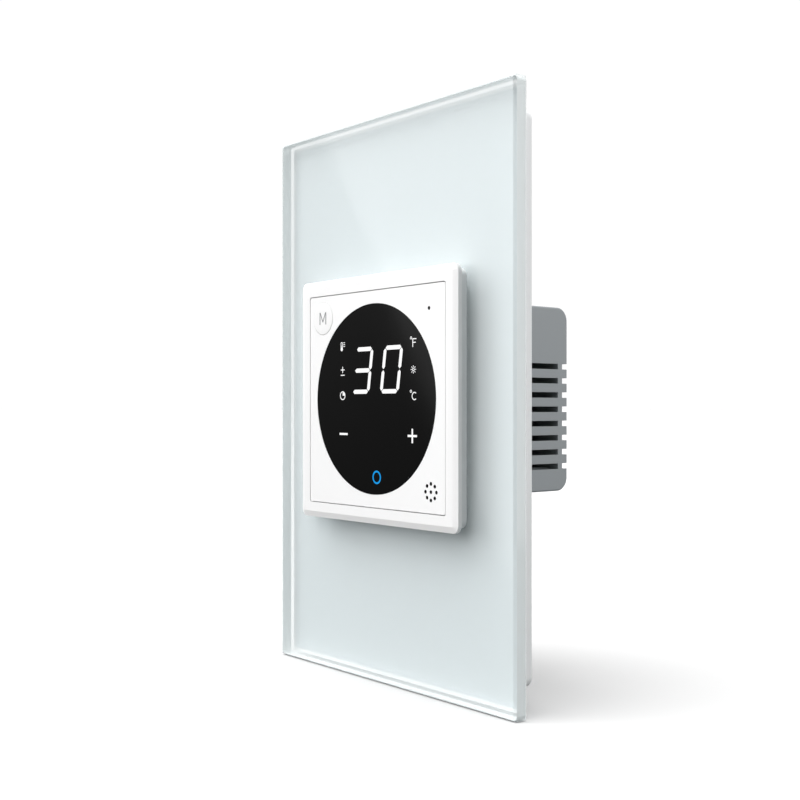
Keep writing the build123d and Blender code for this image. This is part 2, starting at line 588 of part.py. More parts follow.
def make_display_board():
    """Circuit board of the display unit, with its three screw holes."""
    board = slab(DISPLAY_BOARD_SIZE, DISPLAY_BOARD_SIZE, DISPLAY_BOARD_Y, DISPLAY_BOARD_BACK_Y, BOARD_CORNER)
    through = (DISPLAY_BOARD_Y - CUT, DISPLAY_BOARD_BACK_Y + CUT)
    for x, z in board_posts():
        board -= rod(x, z, *through, BOARD_SCREW_HOLE)
    hole = PIN_SIZE + 2 * PIN_BOARD_CLEARANCE
    for x, z in pin_points():
        board -= slab(hole, hole, *through, 0.0, x, z)
    return board


def segment_cells():
    """Openings in the reflector block as (x, z, width, height): digits, with icons on both sides."""
    inside_height = SEGMENT_HEIGHT - 2 * SEGMENT_RIM
    icon_height = (inside_height - (ICON_ROWS - 1) * SEGMENT_RIM) / ICON_ROWS
    icon_x = SEGMENT_WIDTH / 2 - SEGMENT_RIM - ICON_CELL_WIDTH / 2
    digit_space = 2 * (icon_x - ICON_CELL_WIDTH / 2 - SEGMENT_RIM)
    digit_width = (digit_space - (DIGIT_COUNT - 1) * SEGMENT_RIM) / DIGIT_COUNT
    cells = []
    for i in range(DIGIT_COUNT):
        x = (i - (DIGIT_COUNT - 1) / 2) * (digit_width + SEGMENT_RIM)
        cells.append((x, SEGMENT_CENTRE_Z, digit_width, inside_height))
    for i in range(ICON_ROWS):
        z = SEGMENT_CENTRE_Z + (i - (ICON_ROWS - 1) / 2) * (icon_height + SEGMENT_RIM)
        cells += [(side * icon_x, z, ICON_CELL_WIDTH, icon_height) for side in (-1, 1)]
    return cells


def make_segment_display():
    """White reflector block of the two-digit display."""
    size = (SEGMENT_WIDTH, SEGMENT_HEIGHT)
    shell = slab(*size, SEGMENT_FRONT_Y, DISPLAY_BOARD_Y, SEGMENT_CORNER, 0, SEGMENT_CENTRE_Z)
    depth = (SEGMENT_FRONT_Y - CUT, DISPLAY_BOARD_Y - SEGMENT_BOTTOM)
    for x, z, width, height in segment_cells():
        shell -= slab(width, height, *depth, SEGMENT_CELL_CORNER, x, z)
    return shell


def make_diffuser():
    """Milky sheet over the reflector block."""
    front_y = SEGMENT_FRONT_Y - DIFFUSER_THICKNESS
    size = (SEGMENT_WIDTH, SEGMENT_HEIGHT)
    return slab(*size, front_y, SEGMENT_FRONT_Y, SEGMENT_CORNER, 0, SEGMENT_CENTRE_Z)


def make_touch_springs():
    """Coil springs that carry the touch keys' fields to the back of the window."""
    places = [(-TOUCH_SIDE_X, TOUCH_SIDE_Z), (TOUCH_SIDE_X, TOUCH_SIDE_Z), (0, TOUCH_LOWEST_Z)]
    wire = TOUCH_SPRING_WIRE / 2
    height = DISPLAY_BOARD_Y - BEZEL_BACK_Y - TOUCH_SPRING_WIRE - 2 * TOUCH_SPRING_GAP
    path = Helix(height / TOUCH_SPRING_TURNS, height, TOUCH_SPRING_RADIUS)
    section = Plane(origin=path @ 0, z_dir=path % 0) * Circle(wire)
    coil = sweep(section, path=path, is_frenet=True)
    start_y = DISPLAY_BOARD_Y - wire - TOUCH_SPRING_GAP
    return Compound([Pos(x, start_y, z) * Rot(90, 0, 0) * coil for x, z in places])


def make_air_sensor():
    """Thermistor bead on two legs, behind the grille."""
    x, z = GRILLE_CENTRE
    bead_y = BEZEL_BACK_Y + SENSOR_BEHIND_FACE
    bead = Pos(x, bead_y, z) * Sphere(SENSOR_BEAD)
    for side in (-1, 1):
        bead += rod(x + side * SENSOR_LEG_SPACING / 2, z, bead_y, DISPLAY_BOARD_Y, SENSOR_LEG)
    return bead


def make_sensor_shroud():
    """Soft tube that keeps the board's warmth off the air sensor."""
    inner = GRILLE_RING + GRILLE_HOLE / 2 + SHROUD_CLEARANCE
    x, z = GRILLE_CENTRE
    return tube(x, z, BEZEL_BACK_Y, DISPLAY_BOARD_Y, inner + SHROUD_WALL, inner)


def make_status_light():
    """Small light emitter under the single hole."""
    x, z = STATUS_CENTRE
    return slab(LED_WIDTH, LED_LENGTH, DISPLAY_BOARD_Y - LED_HEIGHT, DISPLAY_BOARD_Y, 0.0, x, z)


def make_pin_header():
    """Pins of the display board that plug into the power board's socket."""
    front_y = DISPLAY_BOARD_BACK_Y
    header = slab(SOCKET_WIDTH - HEADER_TRIM, SOCKET_HEIGHT - HEADER_TRIM, front_y, front_y + HEADER_HEIGHT)
    for x, z in pin_points():
        header += slab(PIN_SIZE, PIN_SIZE, DISPLAY_BOARD_Y + PIN_START, PIN_TIP_Y, 0.0, x, z)
    return header


def make_board_screws():
    """Small screws that hold the display board on its posts."""
    screws = []
    head_y = DISPLAY_BOARD_Y - BOARD_SCREW_HEAD_HEIGHT
    for x, z in board_posts():
        head = rod(x, z, head_y, DISPLAY_BOARD_Y, BOARD_SCREW_HEAD)
        shank = rod(x, z, DISPLAY_BOARD_Y, HOUSING_FLOOR_Y - BOARD_SCREW_SHORT, BOARD_SCREW_RADIUS)
        screws.append(head + shank - cross_slot(x, z, head_y, BOARD_DRIVE))
    return Compound(screws)


# ---------------------------------------------------------------- power housing
def make_power_housing():
    """Grey box inside the wall box, vented by slots in its sides and grooves across its back."""
    half_x, half_z = POWER_WIDTH / 2, POWER_HEIGHT / 2
    shell = slab(POWER_WIDTH, POWER_HEIGHT, POWER_FRONT_Y, POWER_DEPTH)
    shell = fillet(edges_at_y(shell, POWER_DEPTH).filter_by(Axis.X), POWER_REAR_ROUND)
    shell = fillet(shell.edges().filter_by(Axis.Y), POWER_EDGE_ROUND)
    shell -= slab(POWER_INSIDE_WIDTH, POWER_INSIDE_HEIGHT, POWER_FRONT_Y - CUT, POWER_REAR_INSIDE_Y)
    for z in vent_heights():
        low, high = z - VENT_HEIGHT / 2, z + VENT_HEIGHT / 2
        shell -= block(-half_x - CUT, half_x + CUT, VENT_START_Y, POWER_REAR_INSIDE_Y, low, high)
        groove = (POWER_DEPTH - GROOVE_DEPTH, POWER_DEPTH + CUT)
        shell -= block(-half_x - CUT, half_x + CUT, *groove, low, high)
    for x, z in corners(POST_X, POST_Z):
        shell += rod(x, z, POWER_BOARD_BACK_Y, POWER_REAR_INSIDE_Y + POST_ROOT, POST_RADIUS)
        bore_back_y = HOUSING_SCREW_TIP_Y + HOUSING_SCREW_SPARE
        shell -= rod(x, z, POWER_BOARD_BACK_Y - CUT, bore_back_y, HOUSING_SCREW_RADIUS)
    for i in range(TERMINAL_COUNT):
        x = terminal_x(i)
        drive_hole = TERMINAL_SCREW_HEAD + DRIVE_HOLE_CLEARANCE
        shell -= rod(x, TERMINAL_Z, POWER_REAR_INSIDE_Y - CUT, POWER_DEPTH + CUT, drive_hole)
        shell -= wire_entry(x, POWER_INSIDE_HEIGHT / 2 - CUT, half_z + CUT)
    return shell


def wire_entry(x, z0, z1):
    """The passage for one wire, from z0 to z1."""
    reach = WIRE_ENTRY_WIDTH / 2
    return block(x - reach, x + reach, CLAMP_WINDOW_FRONT_Y, BAR_FRONT_Y, z0, z1)


def make_power_cover():
    """Inner lid around the connector; its four sleeves clamp the power board on the posts."""
    width = POWER_INSIDE_WIDTH - 2 * COVER_GAP
    height = POWER_INSIDE_HEIGHT - 2 * COVER_GAP
    cover = slab(width, height, POWER_FRONT_Y, COVER_BACK_Y)
    for x, z in corners(POST_X, POST_Z):
        sleeve = rod(x, z, POWER_FRONT_Y, POWER_BOARD_Y, COVER_SLEEVE_RADIUS)
        cover += sleeve & slab(width, height, POWER_FRONT_Y, POWER_BOARD_Y)
        clearance_radius = HOUSING_SCREW_RADIUS + SCREW_SLIDE_CLEARANCE
        cover -= rod(x, z, POWER_FRONT_Y - CUT, POWER_BOARD_Y + CUT, clearance_radius)
    opening = (SOCKET_WIDTH + 2 * COVER_GAP, SOCKET_HEIGHT + 2 * COVER_GAP)
    return cover - slab(*opening, POWER_FRONT_Y - CUT, COVER_BACK_Y + CUT)


def make_power_board():
    """Mains circuit board, notched round the screws, between the cover's sleeves and the posts."""
    board = slab(POWER_BOARD_WIDTH, POWER_BOARD_HEIGHT, POWER_BOARD_Y, POWER_BOARD_BACK_Y, BOARD_CORNER)
    notch_radius = HOUSING_SCREW_RADIUS + SCREW_SLIDE_CLEARANCE
    notch_size = 2 * (notch_radius + POST_INSET)
    past_corner = notch_size / 2 - notch_radius
    through = (POWER_BOARD_Y - CUT, POWER_BOARD_BACK_Y + CUT)
    for x, z in corners(POST_X + past_corner, POST_Z + past_corner):
        board -= slab(notch_size, notch_size, *through, notch_radius, x, z)
    return board


def make_socket_header():
    """Socket strip on the power board for the display unit's pins."""
    socket = slab(SOCKET_WIDTH, SOCKET_HEIGHT, SOCKET_FRONT_Y, POWER_BOARD_Y)
    hole = PIN_SIZE + 2 * PIN_CLEARANCE
    for x, z in pin_points():
        socket -= slab(hole, hole, SOCKET_FRONT_Y - CUT, PIN_TIP_Y + SOCKET_HOLE_SPARE, 0.0, x, z)
    return socket


def component_back_y(part):
    """Where a component on the power board ends, towards the rear wall."""
    return POWER_BOARD_BACK_Y + part["rise"]


def make_relay():
    """Sealed heating relay."""
    back_y = component_back_y(RELAY)
    size = (RELAY["width"], RELAY["height"])
    case = slab(*size, POWER_BOARD_BACK_Y, back_y, RELAY["corner"], RELAY["x"], RELAY["z"])
    return chamfer(edges_at_y(case, back_y), RELAY["chamfer"])


def core_window(width, thickness, height):
    """The bar that fills the transformer core's window, for its hole and for the coil."""
    x, z = TRANSFORMER["x"], TRANSFORMER["z"]
    middle_y = POWER_BOARD_BACK_Y + TRANSFORMER["rise"] / 2
    return slab(width, height, middle_y - thickness / 2, middle_y + thickness / 2, 0.0, x, z)


def make_transformer_core():
    """Ferrite core of the small transformer: a window frame around the coil."""
    part = TRANSFORMER
    front_y = POWER_BOARD_BACK_Y + part["foot"]
    size = (part["width"], part["height"])
    body = slab(*size, front_y, component_back_y(part), part["corner"], part["x"], part["z"])
    window_width = part["width"] - 2 * CORE_LEG
    window_thickness = COIL_THICKNESS + 2 * COIL_CLEARANCE
    return body - core_window(window_width, window_thickness, part["height"] + 2 * CUT)


def make_transformer_coil():
    """Taped winding inside the core's window."""
    width = TRANSFORMER["width"] - 2 * (CORE_LEG + COIL_CLEARANCE)
    return core_window(width, COIL_THICKNESS, TRANSFORMER["height"] + 2 * COIL_OVERHANG)


def round_can(part):
    """A round component standing on the back of the power board, with its far edge rounded."""
    back_y = component_back_y(part)
    can = rod(part["x"], part["z"], POWER_BOARD_BACK_Y, back_y, part["radius"])
    return fillet(edges_at_y(can, back_y), part["round"])


def make_capacitor():
    """Electrolytic capacitor can with its pressed groove."""
    part = CAPACITOR
    start_y = POWER_BOARD_BACK_Y + CAN_GROOVE["start"]
    inner = part["radius"] - CAN_GROOVE["depth"]
    groove = tube(part["x"], part["z"], start_y, start_y + CAN_GROOVE["width"], part["radius"] + CUT, inner)
    return round_can(part) - groove


def make_fuse():
    """Radial fuse in its round case."""
    return round_can(FUSE)


def make_varistor():
    """Disc varistor, standing on its edge."""
    part = VARISTOR
    radius = part["width"] / 2
    centre_y = component_back_y(part) - radius
    disc = Pos(part["x"], centre_y, part["z"]) * Cylinder(radius, part["height"])
    disc = fillet(disc.edges(), part["round"])
    foot = (part["foot_width"], part["foot_height"])
    return disc + slab(*foot, POWER_BOARD_BACK_Y, centre_y, 0.0, part["x"], part["z"])


def make_housing_screws():
    """Four long screws from the base frame, through cover and board, into the housing's posts."""
    screws = []
    for x, z in corners(POST_X, POST_Z):
        head = rod(x, z, HOUSING_SCREW_HEAD_Y, HOUSING_SCREW_SEAT_Y, HOUSING_SCREW_HEAD)
        shank_radius = HOUSING_SCREW_RADIUS - HOUSING_SCREW_FIT
        shank = rod(x, z, HOUSING_SCREW_SEAT_Y, HOUSING_SCREW_TIP_Y, shank_radius)
        screws.append(head + shank - cross_slot(x, z, HOUSING_SCREW_HEAD_Y, HOUSING_DRIVE))
    return Compound(screws)


# ---------------------------------------------------------------- wire terminals
def make_terminal_block():
    """Moulded block with six cells, each open to the rear for its screw and to the top for a wire."""
    half = BLOCK_WIDTH / 2
    body = block(-half, half, POWER_BOARD_BACK_Y, BLOCK_BACK_Y, BLOCK_BOTTOM_Z, BLOCK_TOP_Z)
    head_bore = TERMINAL_SCREW_HEAD + TERMINAL_HEAD_CLEARANCE
    shank_bore = TERMINAL_SCREW_RADIUS + TERMINAL_SHANK_CLEARANCE
    for i in range(TERMINAL_COUNT):
        x = terminal_x(i)
        body -= slab(CELL_WIDTH, CELL_DEPTH, CELL_FRONT_Y, SEAT_FRONT_Y, 0.0, x, TERMINAL_Z)
        body -= rod(x, TERMINAL_Z, SEAT_BACK_Y, BLOCK_BACK_Y + CUT, head_bore)
        body -= rod(x, TERMINAL_Z, SEAT_FRONT_Y - CUT, SEAT_BACK_Y + CUT, shank_bore)
        body -= wire_entry(x, TERMINAL_Z, BLOCK_TOP_Z + CUT)
        body -= contact_shape(x, POWER_BOARD_BACK_Y - CUT)
    return body


def contact_shape(x, leg_front_y):
    """A contact bar held in the block's walls, bent into a leg that ends at leg_front_y."""
    reach = CELL_DEPTH / 2 + CONTACT_BAR_BITE
    low, high = TERMINAL_Z - reach, TERMINAL_Z + reach
    half = CONTACT_BAR_WIDTH / 2
    bar = block(x - half, x + half, BAR_FRONT_Y, BAR_BACK_Y, low, high)
    return bar + block(x - half, x + half, leg_front_y, BAR_BACK_Y, low, low + SOLDER_PIN)


def make_terminal_contacts():
    """Six contact bars, each bent down to a solder leg on the power board."""
    return Compound([contact_shape(terminal_x(i), POWER_BOARD_BACK_Y) for i in range(TERMINAL_COUNT)])


def make_terminal_screw(index):
    """Slotted screw; its tip bears on the contact bar, so turning it lifts the cage."""
    x = terminal_x(index)
    head = rod(x, TERMINAL_Z, SEAT_BACK_Y, SCREW_HEAD_BACK_Y, TERMINAL_SCREW_HEAD)
    shank = rod(x, TERMINAL_Z, BAR_BACK_Y, SEAT_BACK_Y, TERMINAL_SCREW_RADIUS)
    slot_depth = (SCREW_HEAD_BACK_Y - DRIVE_SLOT_DEPTH, SCREW_HEAD_BACK_Y + CUT)
    slot = slab(2 * TERMINAL_SCREW_HEAD + CUT, DRIVE_SLOT_WIDTH, *slot_depth, 0.0, x, TERMINAL_Z)
    return head + shank - slot


def make_terminal_clamp(index):
    """Brass cage that rises along its screw and presses the wire against the contact bar."""
    x = terminal_x(index)
    cage = slab(CLAMP_WIDTH, CLAMP_DEPTH, CLAMP_FRONT_Y, CLAMP_BACK_Y, 0.0, x, TERMINAL_Z)
    window = (CLAMP_WIDTH - 2 * CLAMP_SIDE_WALL, CLAMP_DEPTH + CUT)
    cage -= slab(*window, CLAMP_WINDOW_FRONT_Y, CLAMP_WINDOW_BACK_Y, 0.0, x, TERMINAL_Z)
    thread = TERMINAL_SCREW_RADIUS + THREAD_CLEARANCE
    return cage - rod(x, TERMINAL_Z, CLAMP_WINDOW_BACK_Y - CUT, CLAMP_BACK_Y + CUT, thread)


# ---------------------------------------------------------------- assembly
def all_nodes():
    """Every piece by node name."""
    nodes = {
        "glass_panel": make_glass_panel(),
        "colour_film": make_colour_film(),
        "bonding_tape": make_bonding_tape(),
        "panel_carrier": make_panel_carrier(),
        "base_frame": make_base_frame(),
        "front_housing": make_front_housing(),
        "bezel": make_bezel(),
        "face_plate": make_face_plate(),
        "display_window": make_display_window(),
        "mode_button": make_mode_button(),
        "switch_stem": make_switch_stem(),
        "tactile_switch": make_tactile_switch(),
        "display_board": make_display_board(),
        "segment_display": make_segment_display(),
        "diffuser": make_diffuser(),
        "touch_springs": make_touch_springs(),
        "air_sensor": make_air_sensor(),
        "sensor_shroud": make_sensor_shroud(),
        "status_light": make_status_light(),
        "pin_header": make_pin_header(),
        "board_screws": make_board_screws(),
        "power_housing": make_power_housing(),
        "power_cover": make_power_cover(),
        "power_board": make_power_board(),
        "socket_header": make_socket_header(),
        "relay": make_relay(),
        "transformer_core": make_transformer_core(),
        "transformer_coil": make_transformer_coil(),
        "capacitor": make_capacitor(),
        "fuse": make_fuse(),
        "varistor": make_varistor(),
        "housing_screws": make_housing_screws(),
        "terminal_block": make_terminal_block(),
        "terminal_contacts": make_terminal_contacts(),
    }
    for i in range(TERMINAL_COUNT):
        nodes[f"terminal_screw_{i + 1}"] = make_terminal_screw(i)
        nodes[f"terminal_clamp_{i + 1}"] = make_terminal_clamp(i)
    return nodes


os.makedirs("parts", exist_ok=True)
for name, shape in all_nodes().items():
    export_step(shape, f"parts/{name}.step")
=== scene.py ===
"""Looks of the flush wall thermostat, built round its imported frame.

Metres, in the frame's own axes: +Z up, -Y into the room. Places and sizes of what is
added here come from the boxes of the frame's nodes.
"""

import logging
from dataclasses import dataclass, field
from enum import Enum
from math import cos, pi, radians, sin

import bmesh
import bpy
from mathutils import Euler, Matrix, Vector


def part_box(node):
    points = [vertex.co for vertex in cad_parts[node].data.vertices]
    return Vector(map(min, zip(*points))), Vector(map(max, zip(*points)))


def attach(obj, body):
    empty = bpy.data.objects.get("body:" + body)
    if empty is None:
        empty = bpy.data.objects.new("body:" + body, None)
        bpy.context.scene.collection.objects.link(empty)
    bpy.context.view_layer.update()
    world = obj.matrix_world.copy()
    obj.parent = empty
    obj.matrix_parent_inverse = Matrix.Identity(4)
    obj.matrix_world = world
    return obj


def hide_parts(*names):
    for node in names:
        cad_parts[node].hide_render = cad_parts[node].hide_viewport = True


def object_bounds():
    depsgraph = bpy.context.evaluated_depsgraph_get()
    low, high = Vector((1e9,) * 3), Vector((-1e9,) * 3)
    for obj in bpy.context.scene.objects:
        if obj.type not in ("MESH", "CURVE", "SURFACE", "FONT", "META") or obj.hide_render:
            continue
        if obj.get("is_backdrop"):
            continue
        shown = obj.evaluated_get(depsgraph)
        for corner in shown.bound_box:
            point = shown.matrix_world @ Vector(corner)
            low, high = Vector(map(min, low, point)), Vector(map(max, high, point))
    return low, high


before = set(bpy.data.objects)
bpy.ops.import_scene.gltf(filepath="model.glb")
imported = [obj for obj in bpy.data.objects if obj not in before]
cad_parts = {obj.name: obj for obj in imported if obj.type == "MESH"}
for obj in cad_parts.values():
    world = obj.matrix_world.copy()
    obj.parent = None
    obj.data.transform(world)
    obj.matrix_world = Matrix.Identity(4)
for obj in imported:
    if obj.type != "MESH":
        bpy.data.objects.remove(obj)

LOG = logging.getLogger("thermostat")
MM = 0.001
Colour = tuple[float, float, float]


# ------------------------------------------------------------------ node tools
class Socket(Enum):
    """Kinds of socket that a node group puts in or out."""

    VALUE = "NodeSocketFloat"
    COLOUR = "NodeSocketColor"
    VECTOR = "NodeSocketVector"


class NodeTree:
    """A thin wrapper that adds, sets and links shader nodes."""

    def __init__(self, tree: bpy.types.NodeTree) -> None:
        """Wraps a node tree.

        Args:
            tree: The tree of a material, a world or a group.
        """
        self.tree = tree

    def add(self, kind: str, inputs: dict | None = None, **settings: object) -> bpy.types.Node:
        """Adds a node.

        Args:
            kind: The node's type name.
            inputs: Socket names with a constant, or with an output socket to link from.
            settings: Properties of the node itself.

        Returns:
            The new node.
        """
        node = self.tree.nodes.new(kind)
        for name, value in settings.items():
            setattr(node, name, value)
        for name, value in (inputs or {}).items():
            socket = node.inputs[name]
            if isinstance(value, bpy.types.NodeSocket):
                self.tree.links.new(value, socket)
            else:
                socket.default_value = value
        return node

    def only(self, kind: str) -> bpy.types.Node:
        """The tree's node of a kind that it has once."""
        return next(node for node in self.tree.nodes if node.bl_idname == kind)

    def link(self, source: bpy.types.NodeSocket, target: bpy.types.NodeSocket) -> None:
        """Links one socket to another."""
        self.tree.links.new(source, target)

    def ramp(self, value: bpy.types.NodeSocket, span: tuple, result: tuple) -> bpy.types.NodeSocket:
        """Adds a smooth Map Range.

        Args:
            value: The socket that is read.
            span: Where the change starts and ends.
            result: The value before it and after it.

        Returns:
            The node's result.
        """
        inputs = {0: value, 1: span[0], 2: span[1], 3: result[0], 4: result[1]}
        return self.add("ShaderNodeMapRange", inputs, interpolation_type="SMOOTHSTEP").outputs[0]

    def math(self, operation: str, first: object, second: object = 0.0) -> bpy.types.NodeSocket:
        """Adds a Math node.

        Args:
            operation: The node's operation.
            first: A number or an output socket.
            second: A number or an output socket.

        Returns:
            The node's result.
        """
        return self.add("ShaderNodeMath", {0: first, 1: second}, operation=operation).outputs[0]


class GroupBuilder:
    """Makes a shader node group once and hands it out by name."""

    def __init__(self, name: str, inputs: dict[str, tuple[Socket, object]], outputs: dict[str, Socket]) -> None:
        """Starts an empty group.

        Args:
            name: Name of the group.
            inputs: Names of its inputs, with their kind and starting value.
            outputs: Names of its outputs, with their kind.
        """
        tree = bpy.data.node_groups.new(name, "ShaderNodeTree")
        for label, (kind, start) in inputs.items():
            socket = tree.interface.new_socket(label, in_out="INPUT", socket_type=kind.value)
            socket.default_value = start
        for label, kind in outputs.items():
            tree.interface.new_socket(label, in_out="OUTPUT", socket_type=kind.value)
        self.group = tree
        self.nodes = NodeTree(tree)
        self.source = tree.nodes.new("NodeGroupInput").outputs
        self.result = tree.nodes.new("NodeGroupOutput").inputs


def moulded_grain() -> bpy.types.NodeTree:
    """Fine mould texture: a colour that drifts a little, uneven gloss and a grain height.

    Returns:
        The node group.
    """
    name = "moulded_grain"
    if name in bpy.data.node_groups:
        return bpy.data.node_groups[name]
    made = GroupBuilder(
        name,
        {
            "Colour": (Socket.COLOUR, (0.8, 0.8, 0.8, 1.0)),
            "Drift": (Socket.VALUE, 0.02),
            "Roughness": (Socket.VALUE, 0.4),
            "Unevenness": (Socket.VALUE, 0.06),
            "Grains per metre": (Socket.VALUE, 4000.0),
        },
        {"Colour": Socket.COLOUR, "Roughness": Socket.VALUE, "Height": Socket.VALUE},
    )
    nodes, source = made.nodes, made.source
    place = nodes.add("ShaderNodeTexCoord").outputs["Object"]
    cloud = nodes.add("ShaderNodeTexNoise", {"Vector": place, "Scale": 90.0, "Detail": 3.0}).outputs["Fac"]
    centred = nodes.math("SUBTRACT", cloud, 0.5)
    shade = nodes.math("ADD", 1.0, nodes.math("MULTIPLY", centred, source["Drift"]))
    tinted = nodes.add("ShaderNodeVectorMath", {0: source["Colour"]}, operation="SCALE")
    nodes.link(shade, tinted.inputs["Scale"])
    nodes.link(tinted.outputs[0], made.result["Colour"])
    patches = nodes.math("MULTIPLY", centred, source["Unevenness"])
    nodes.link(nodes.math("ADD", source["Roughness"], patches), made.result["Roughness"])
    grain = nodes.add("ShaderNodeTexNoise", {"Vector": place, "Detail": 2.0, "Roughness": 0.6})
    nodes.link(source["Grains per metre"], grain.inputs["Scale"])
    nodes.link(grain.outputs["Fac"], made.result["Height"])
    return made.group


def drawn_metal() -> bpy.types.NodeTree:
    """Fine lines along Y with small stains, for plated and drawn metal.

    Returns:
        The node group.
    """
    name = "drawn_metal"
    if name in bpy.data.node_groups:
        return bpy.data.node_groups[name]
    made = GroupBuilder(
        name,
        {
            "Colour": (Socket.COLOUR, (0.6, 0.6, 0.6, 1.0)),
            "Stain": (Socket.COLOUR, (0.3, 0.3, 0.3, 1.0)),
            "Roughness": (Socket.VALUE, 0.3),
        },
        {"Colour": Socket.COLOUR, "Roughness": Socket.VALUE, "Height": Socket.VALUE},
    )
    nodes, source = made.nodes, made.source
    place = nodes.add("ShaderNodeTexCoord").outputs["Object"]
    stretched = nodes.add("ShaderNodeMapping", {"Vector": place, "Scale": (9000.0, 400.0, 9000.0)})
    lines = nodes.add("ShaderNodeTexNoise", {"Vector": stretched.outputs[0], "Scale": 1.0}).outputs["Fac"]
    spots = nodes.add("ShaderNodeTexNoise", {"Vector": place, "Scale": 700.0, "Detail": 4.0}).outputs["Fac"]
    mask = nodes.add("ShaderNodeMapRange", {0: spots, 1: 0.55, 2: 0.8, 3: 0.0, 4: 0.6}).outputs[0]
    mixed = nodes.add("ShaderNodeMix", data_type="RGBA")
    nodes.link(mask, mixed.inputs["Factor"])
    nodes.link(source["Colour"], mixed.inputs[6])
    nodes.link(source["Stain"], mixed.inputs[7])
    nodes.link(mixed.outputs[2], made.result["Colour"])
    rough = nodes.math("ADD", source["Roughness"], nodes.math("MULTIPLY", lines, 0.12))
    nodes.link(rough, made.result["Roughness"])
    nodes.link(lines, made.result["Height"])
    return made.group


# ------------------------------------------------------------------ finishes
def rgba(colour: Colour) -> tuple[float, float, float, float]:
    """A colour with full alpha."""
    return (*colour, 1.0)


@dataclass(frozen=True)
class Finish:
    """A surface finish that builds its material once.

    Attributes:
        name: Name of the material.
        colour: Linear base colour.
        roughness: Middle roughness of the surface.
    """

    name: str
    colour: Colour
    roughness: float

    def material(self) -> bpy.types.Material:
        """The finish's material, made on first use."""
        if self.name in bpy.data.materials:
            return bpy.data.materials[self.name]
        made = bpy.data.materials.new(self.name)
        made.use_nodes = True
        made.node_tree.nodes.clear()
        nodes = NodeTree(made.node_tree)
        shader = nodes.add("ShaderNodeBsdfPrincipled")
        output = nodes.add("ShaderNodeOutputMaterial")
        nodes.link(shader.outputs[0], output.inputs["Surface"])
        self.dress(nodes, shader)
        made.diffuse_color = rgba(self.colour)
        return made

    def dress(self, nodes: NodeTree, shader: bpy.types.Node) -> None:
        """Feeds the shader; each kind of finish does this its own way."""
        raise NotImplementedError


@dataclass(frozen=True)
class Moulded(Finish):
    """Injection-moulded plastic, rubber, paint or sintered stock.

    Attributes:
        grains: Grain of the mould, in grains per metre.
        relief: Depth of the grain, in metres.
        drift: How far the shade drifts over the piece.
        coat: Weight of a clear coat.
    """

    grains: float = 4000.0
    relief: float = 0.000004
    drift: float = 0.02
    coat: float = 0.0

    def dress(self, nodes: NodeTree, shader: bpy.types.Node) -> None:
        """Feeds the shader from the shared mould grain."""
        grain = nodes.add(
            "ShaderNodeGroup",
            {},
            node_tree=moulded_grain(),
        )
        grain.inputs["Colour"].default_value = rgba(self.colour)
        grain.inputs["Drift"].default_value = self.drift
        grain.inputs["Roughness"].default_value = self.roughness
        grain.inputs["Grains per metre"].default_value = self.grains
        nodes.link(grain.outputs["Colour"], shader.inputs["Base Color"])
        nodes.link(grain.outputs["Roughness"], shader.inputs["Roughness"])
        bump = nodes.add("ShaderNodeBump", {"Distance": self.relief, "Height": grain.outputs["Height"]})
        nodes.link(bump.outputs[0], shader.inputs["Normal"])
        shader.inputs["Coat Weight"].default_value = self.coat


@dataclass(frozen=True)
class Metal(Finish):
    """Plated or bare metal with fine drawn lines.

    Attributes:
        stain: Colour of the small stains.
    """

    stain: Colour = (0.25, 0.24, 0.22)

    def dress(self, nodes: NodeTree, shader: bpy.types.Node) -> None:
        """Feeds the shader from the shared drawn-metal pattern."""
        metal = nodes.add("ShaderNodeGroup", {}, node_tree=drawn_metal())
        metal.inputs["Colour"].default_value = rgba(self.colour)
        metal.inputs["Stain"].default_value = rgba(self.stain)
        metal.inputs["Roughness"].default_value = self.roughness
        nodes.link(metal.outputs["Colour"], shader.inputs["Base Color"])
        nodes.link(metal.outputs["Roughness"], shader.inputs["Roughness"])
        bump = nodes.add("ShaderNodeBump", {"Distance": 0.000002, "Height": metal.outputs["Height"]})
        nodes.link(bump.outputs[0], shader.inputs["Normal"])
        shader.inputs["Metallic"].default_value = 1.0


@dataclass(frozen=True)
class ClearGlass(Finish):
    """Tempered glass: clear, barely uneven, and open to the light of lamps."""

    def dress(self, nodes: NodeTree, shader: bpy.types.Node) -> None:
        """Feeds the shader, and lets shadow rays pass."""
        place = nodes.add("ShaderNodeTexCoord").outputs["Object"]
        film = nodes.add("ShaderNodeTexNoise", {"Vector": place, "Scale": 60.0}).outputs["Fac"]
        polish = nodes.add("ShaderNodeMapRange", {0: film, 3: self.roughness, 4: self.roughness + 0.004})
        nodes.link(polish.outputs[0], shader.inputs["Roughness"])
        shader.inputs["Base Color"].default_value = rgba(self.colour)
        shader.inputs["Transmission Weight"].default_value = 1.0
        shader.inputs["IOR"].default_value = 1.5
        path = nodes.add("ShaderNodeLightPath").outputs
        passing = nodes.add("ShaderNodeBsdfTransparent", {"Color": rgba(self.colour)})
        surface = shader
        for ray in ("Is Diffuse Ray", "Is Shadow Ray"):
            mixed = nodes.add("ShaderNodeMixShader", {"Fac": path[ray]})
            nodes.link(surface.outputs[0], mixed.inputs[1])
            nodes.link(passing.outputs[0], mixed.inputs[2])
            surface = mixed
        nodes.link(surface.outputs[0], nodes.only("ShaderNodeOutputMaterial").inputs["Surface"])


@dataclass(frozen=True)
class BlackGloss(Moulded):
    """Polished black window with hardly any glare."""

    def dress(self, nodes: NodeTree, shader: bpy.types.Node) -> None:
        """Feeds the shader and lowers its mirror."""
        super().dress(nodes, shader)
        shader.inputs["Specular IOR Level"].default_value = 0.04


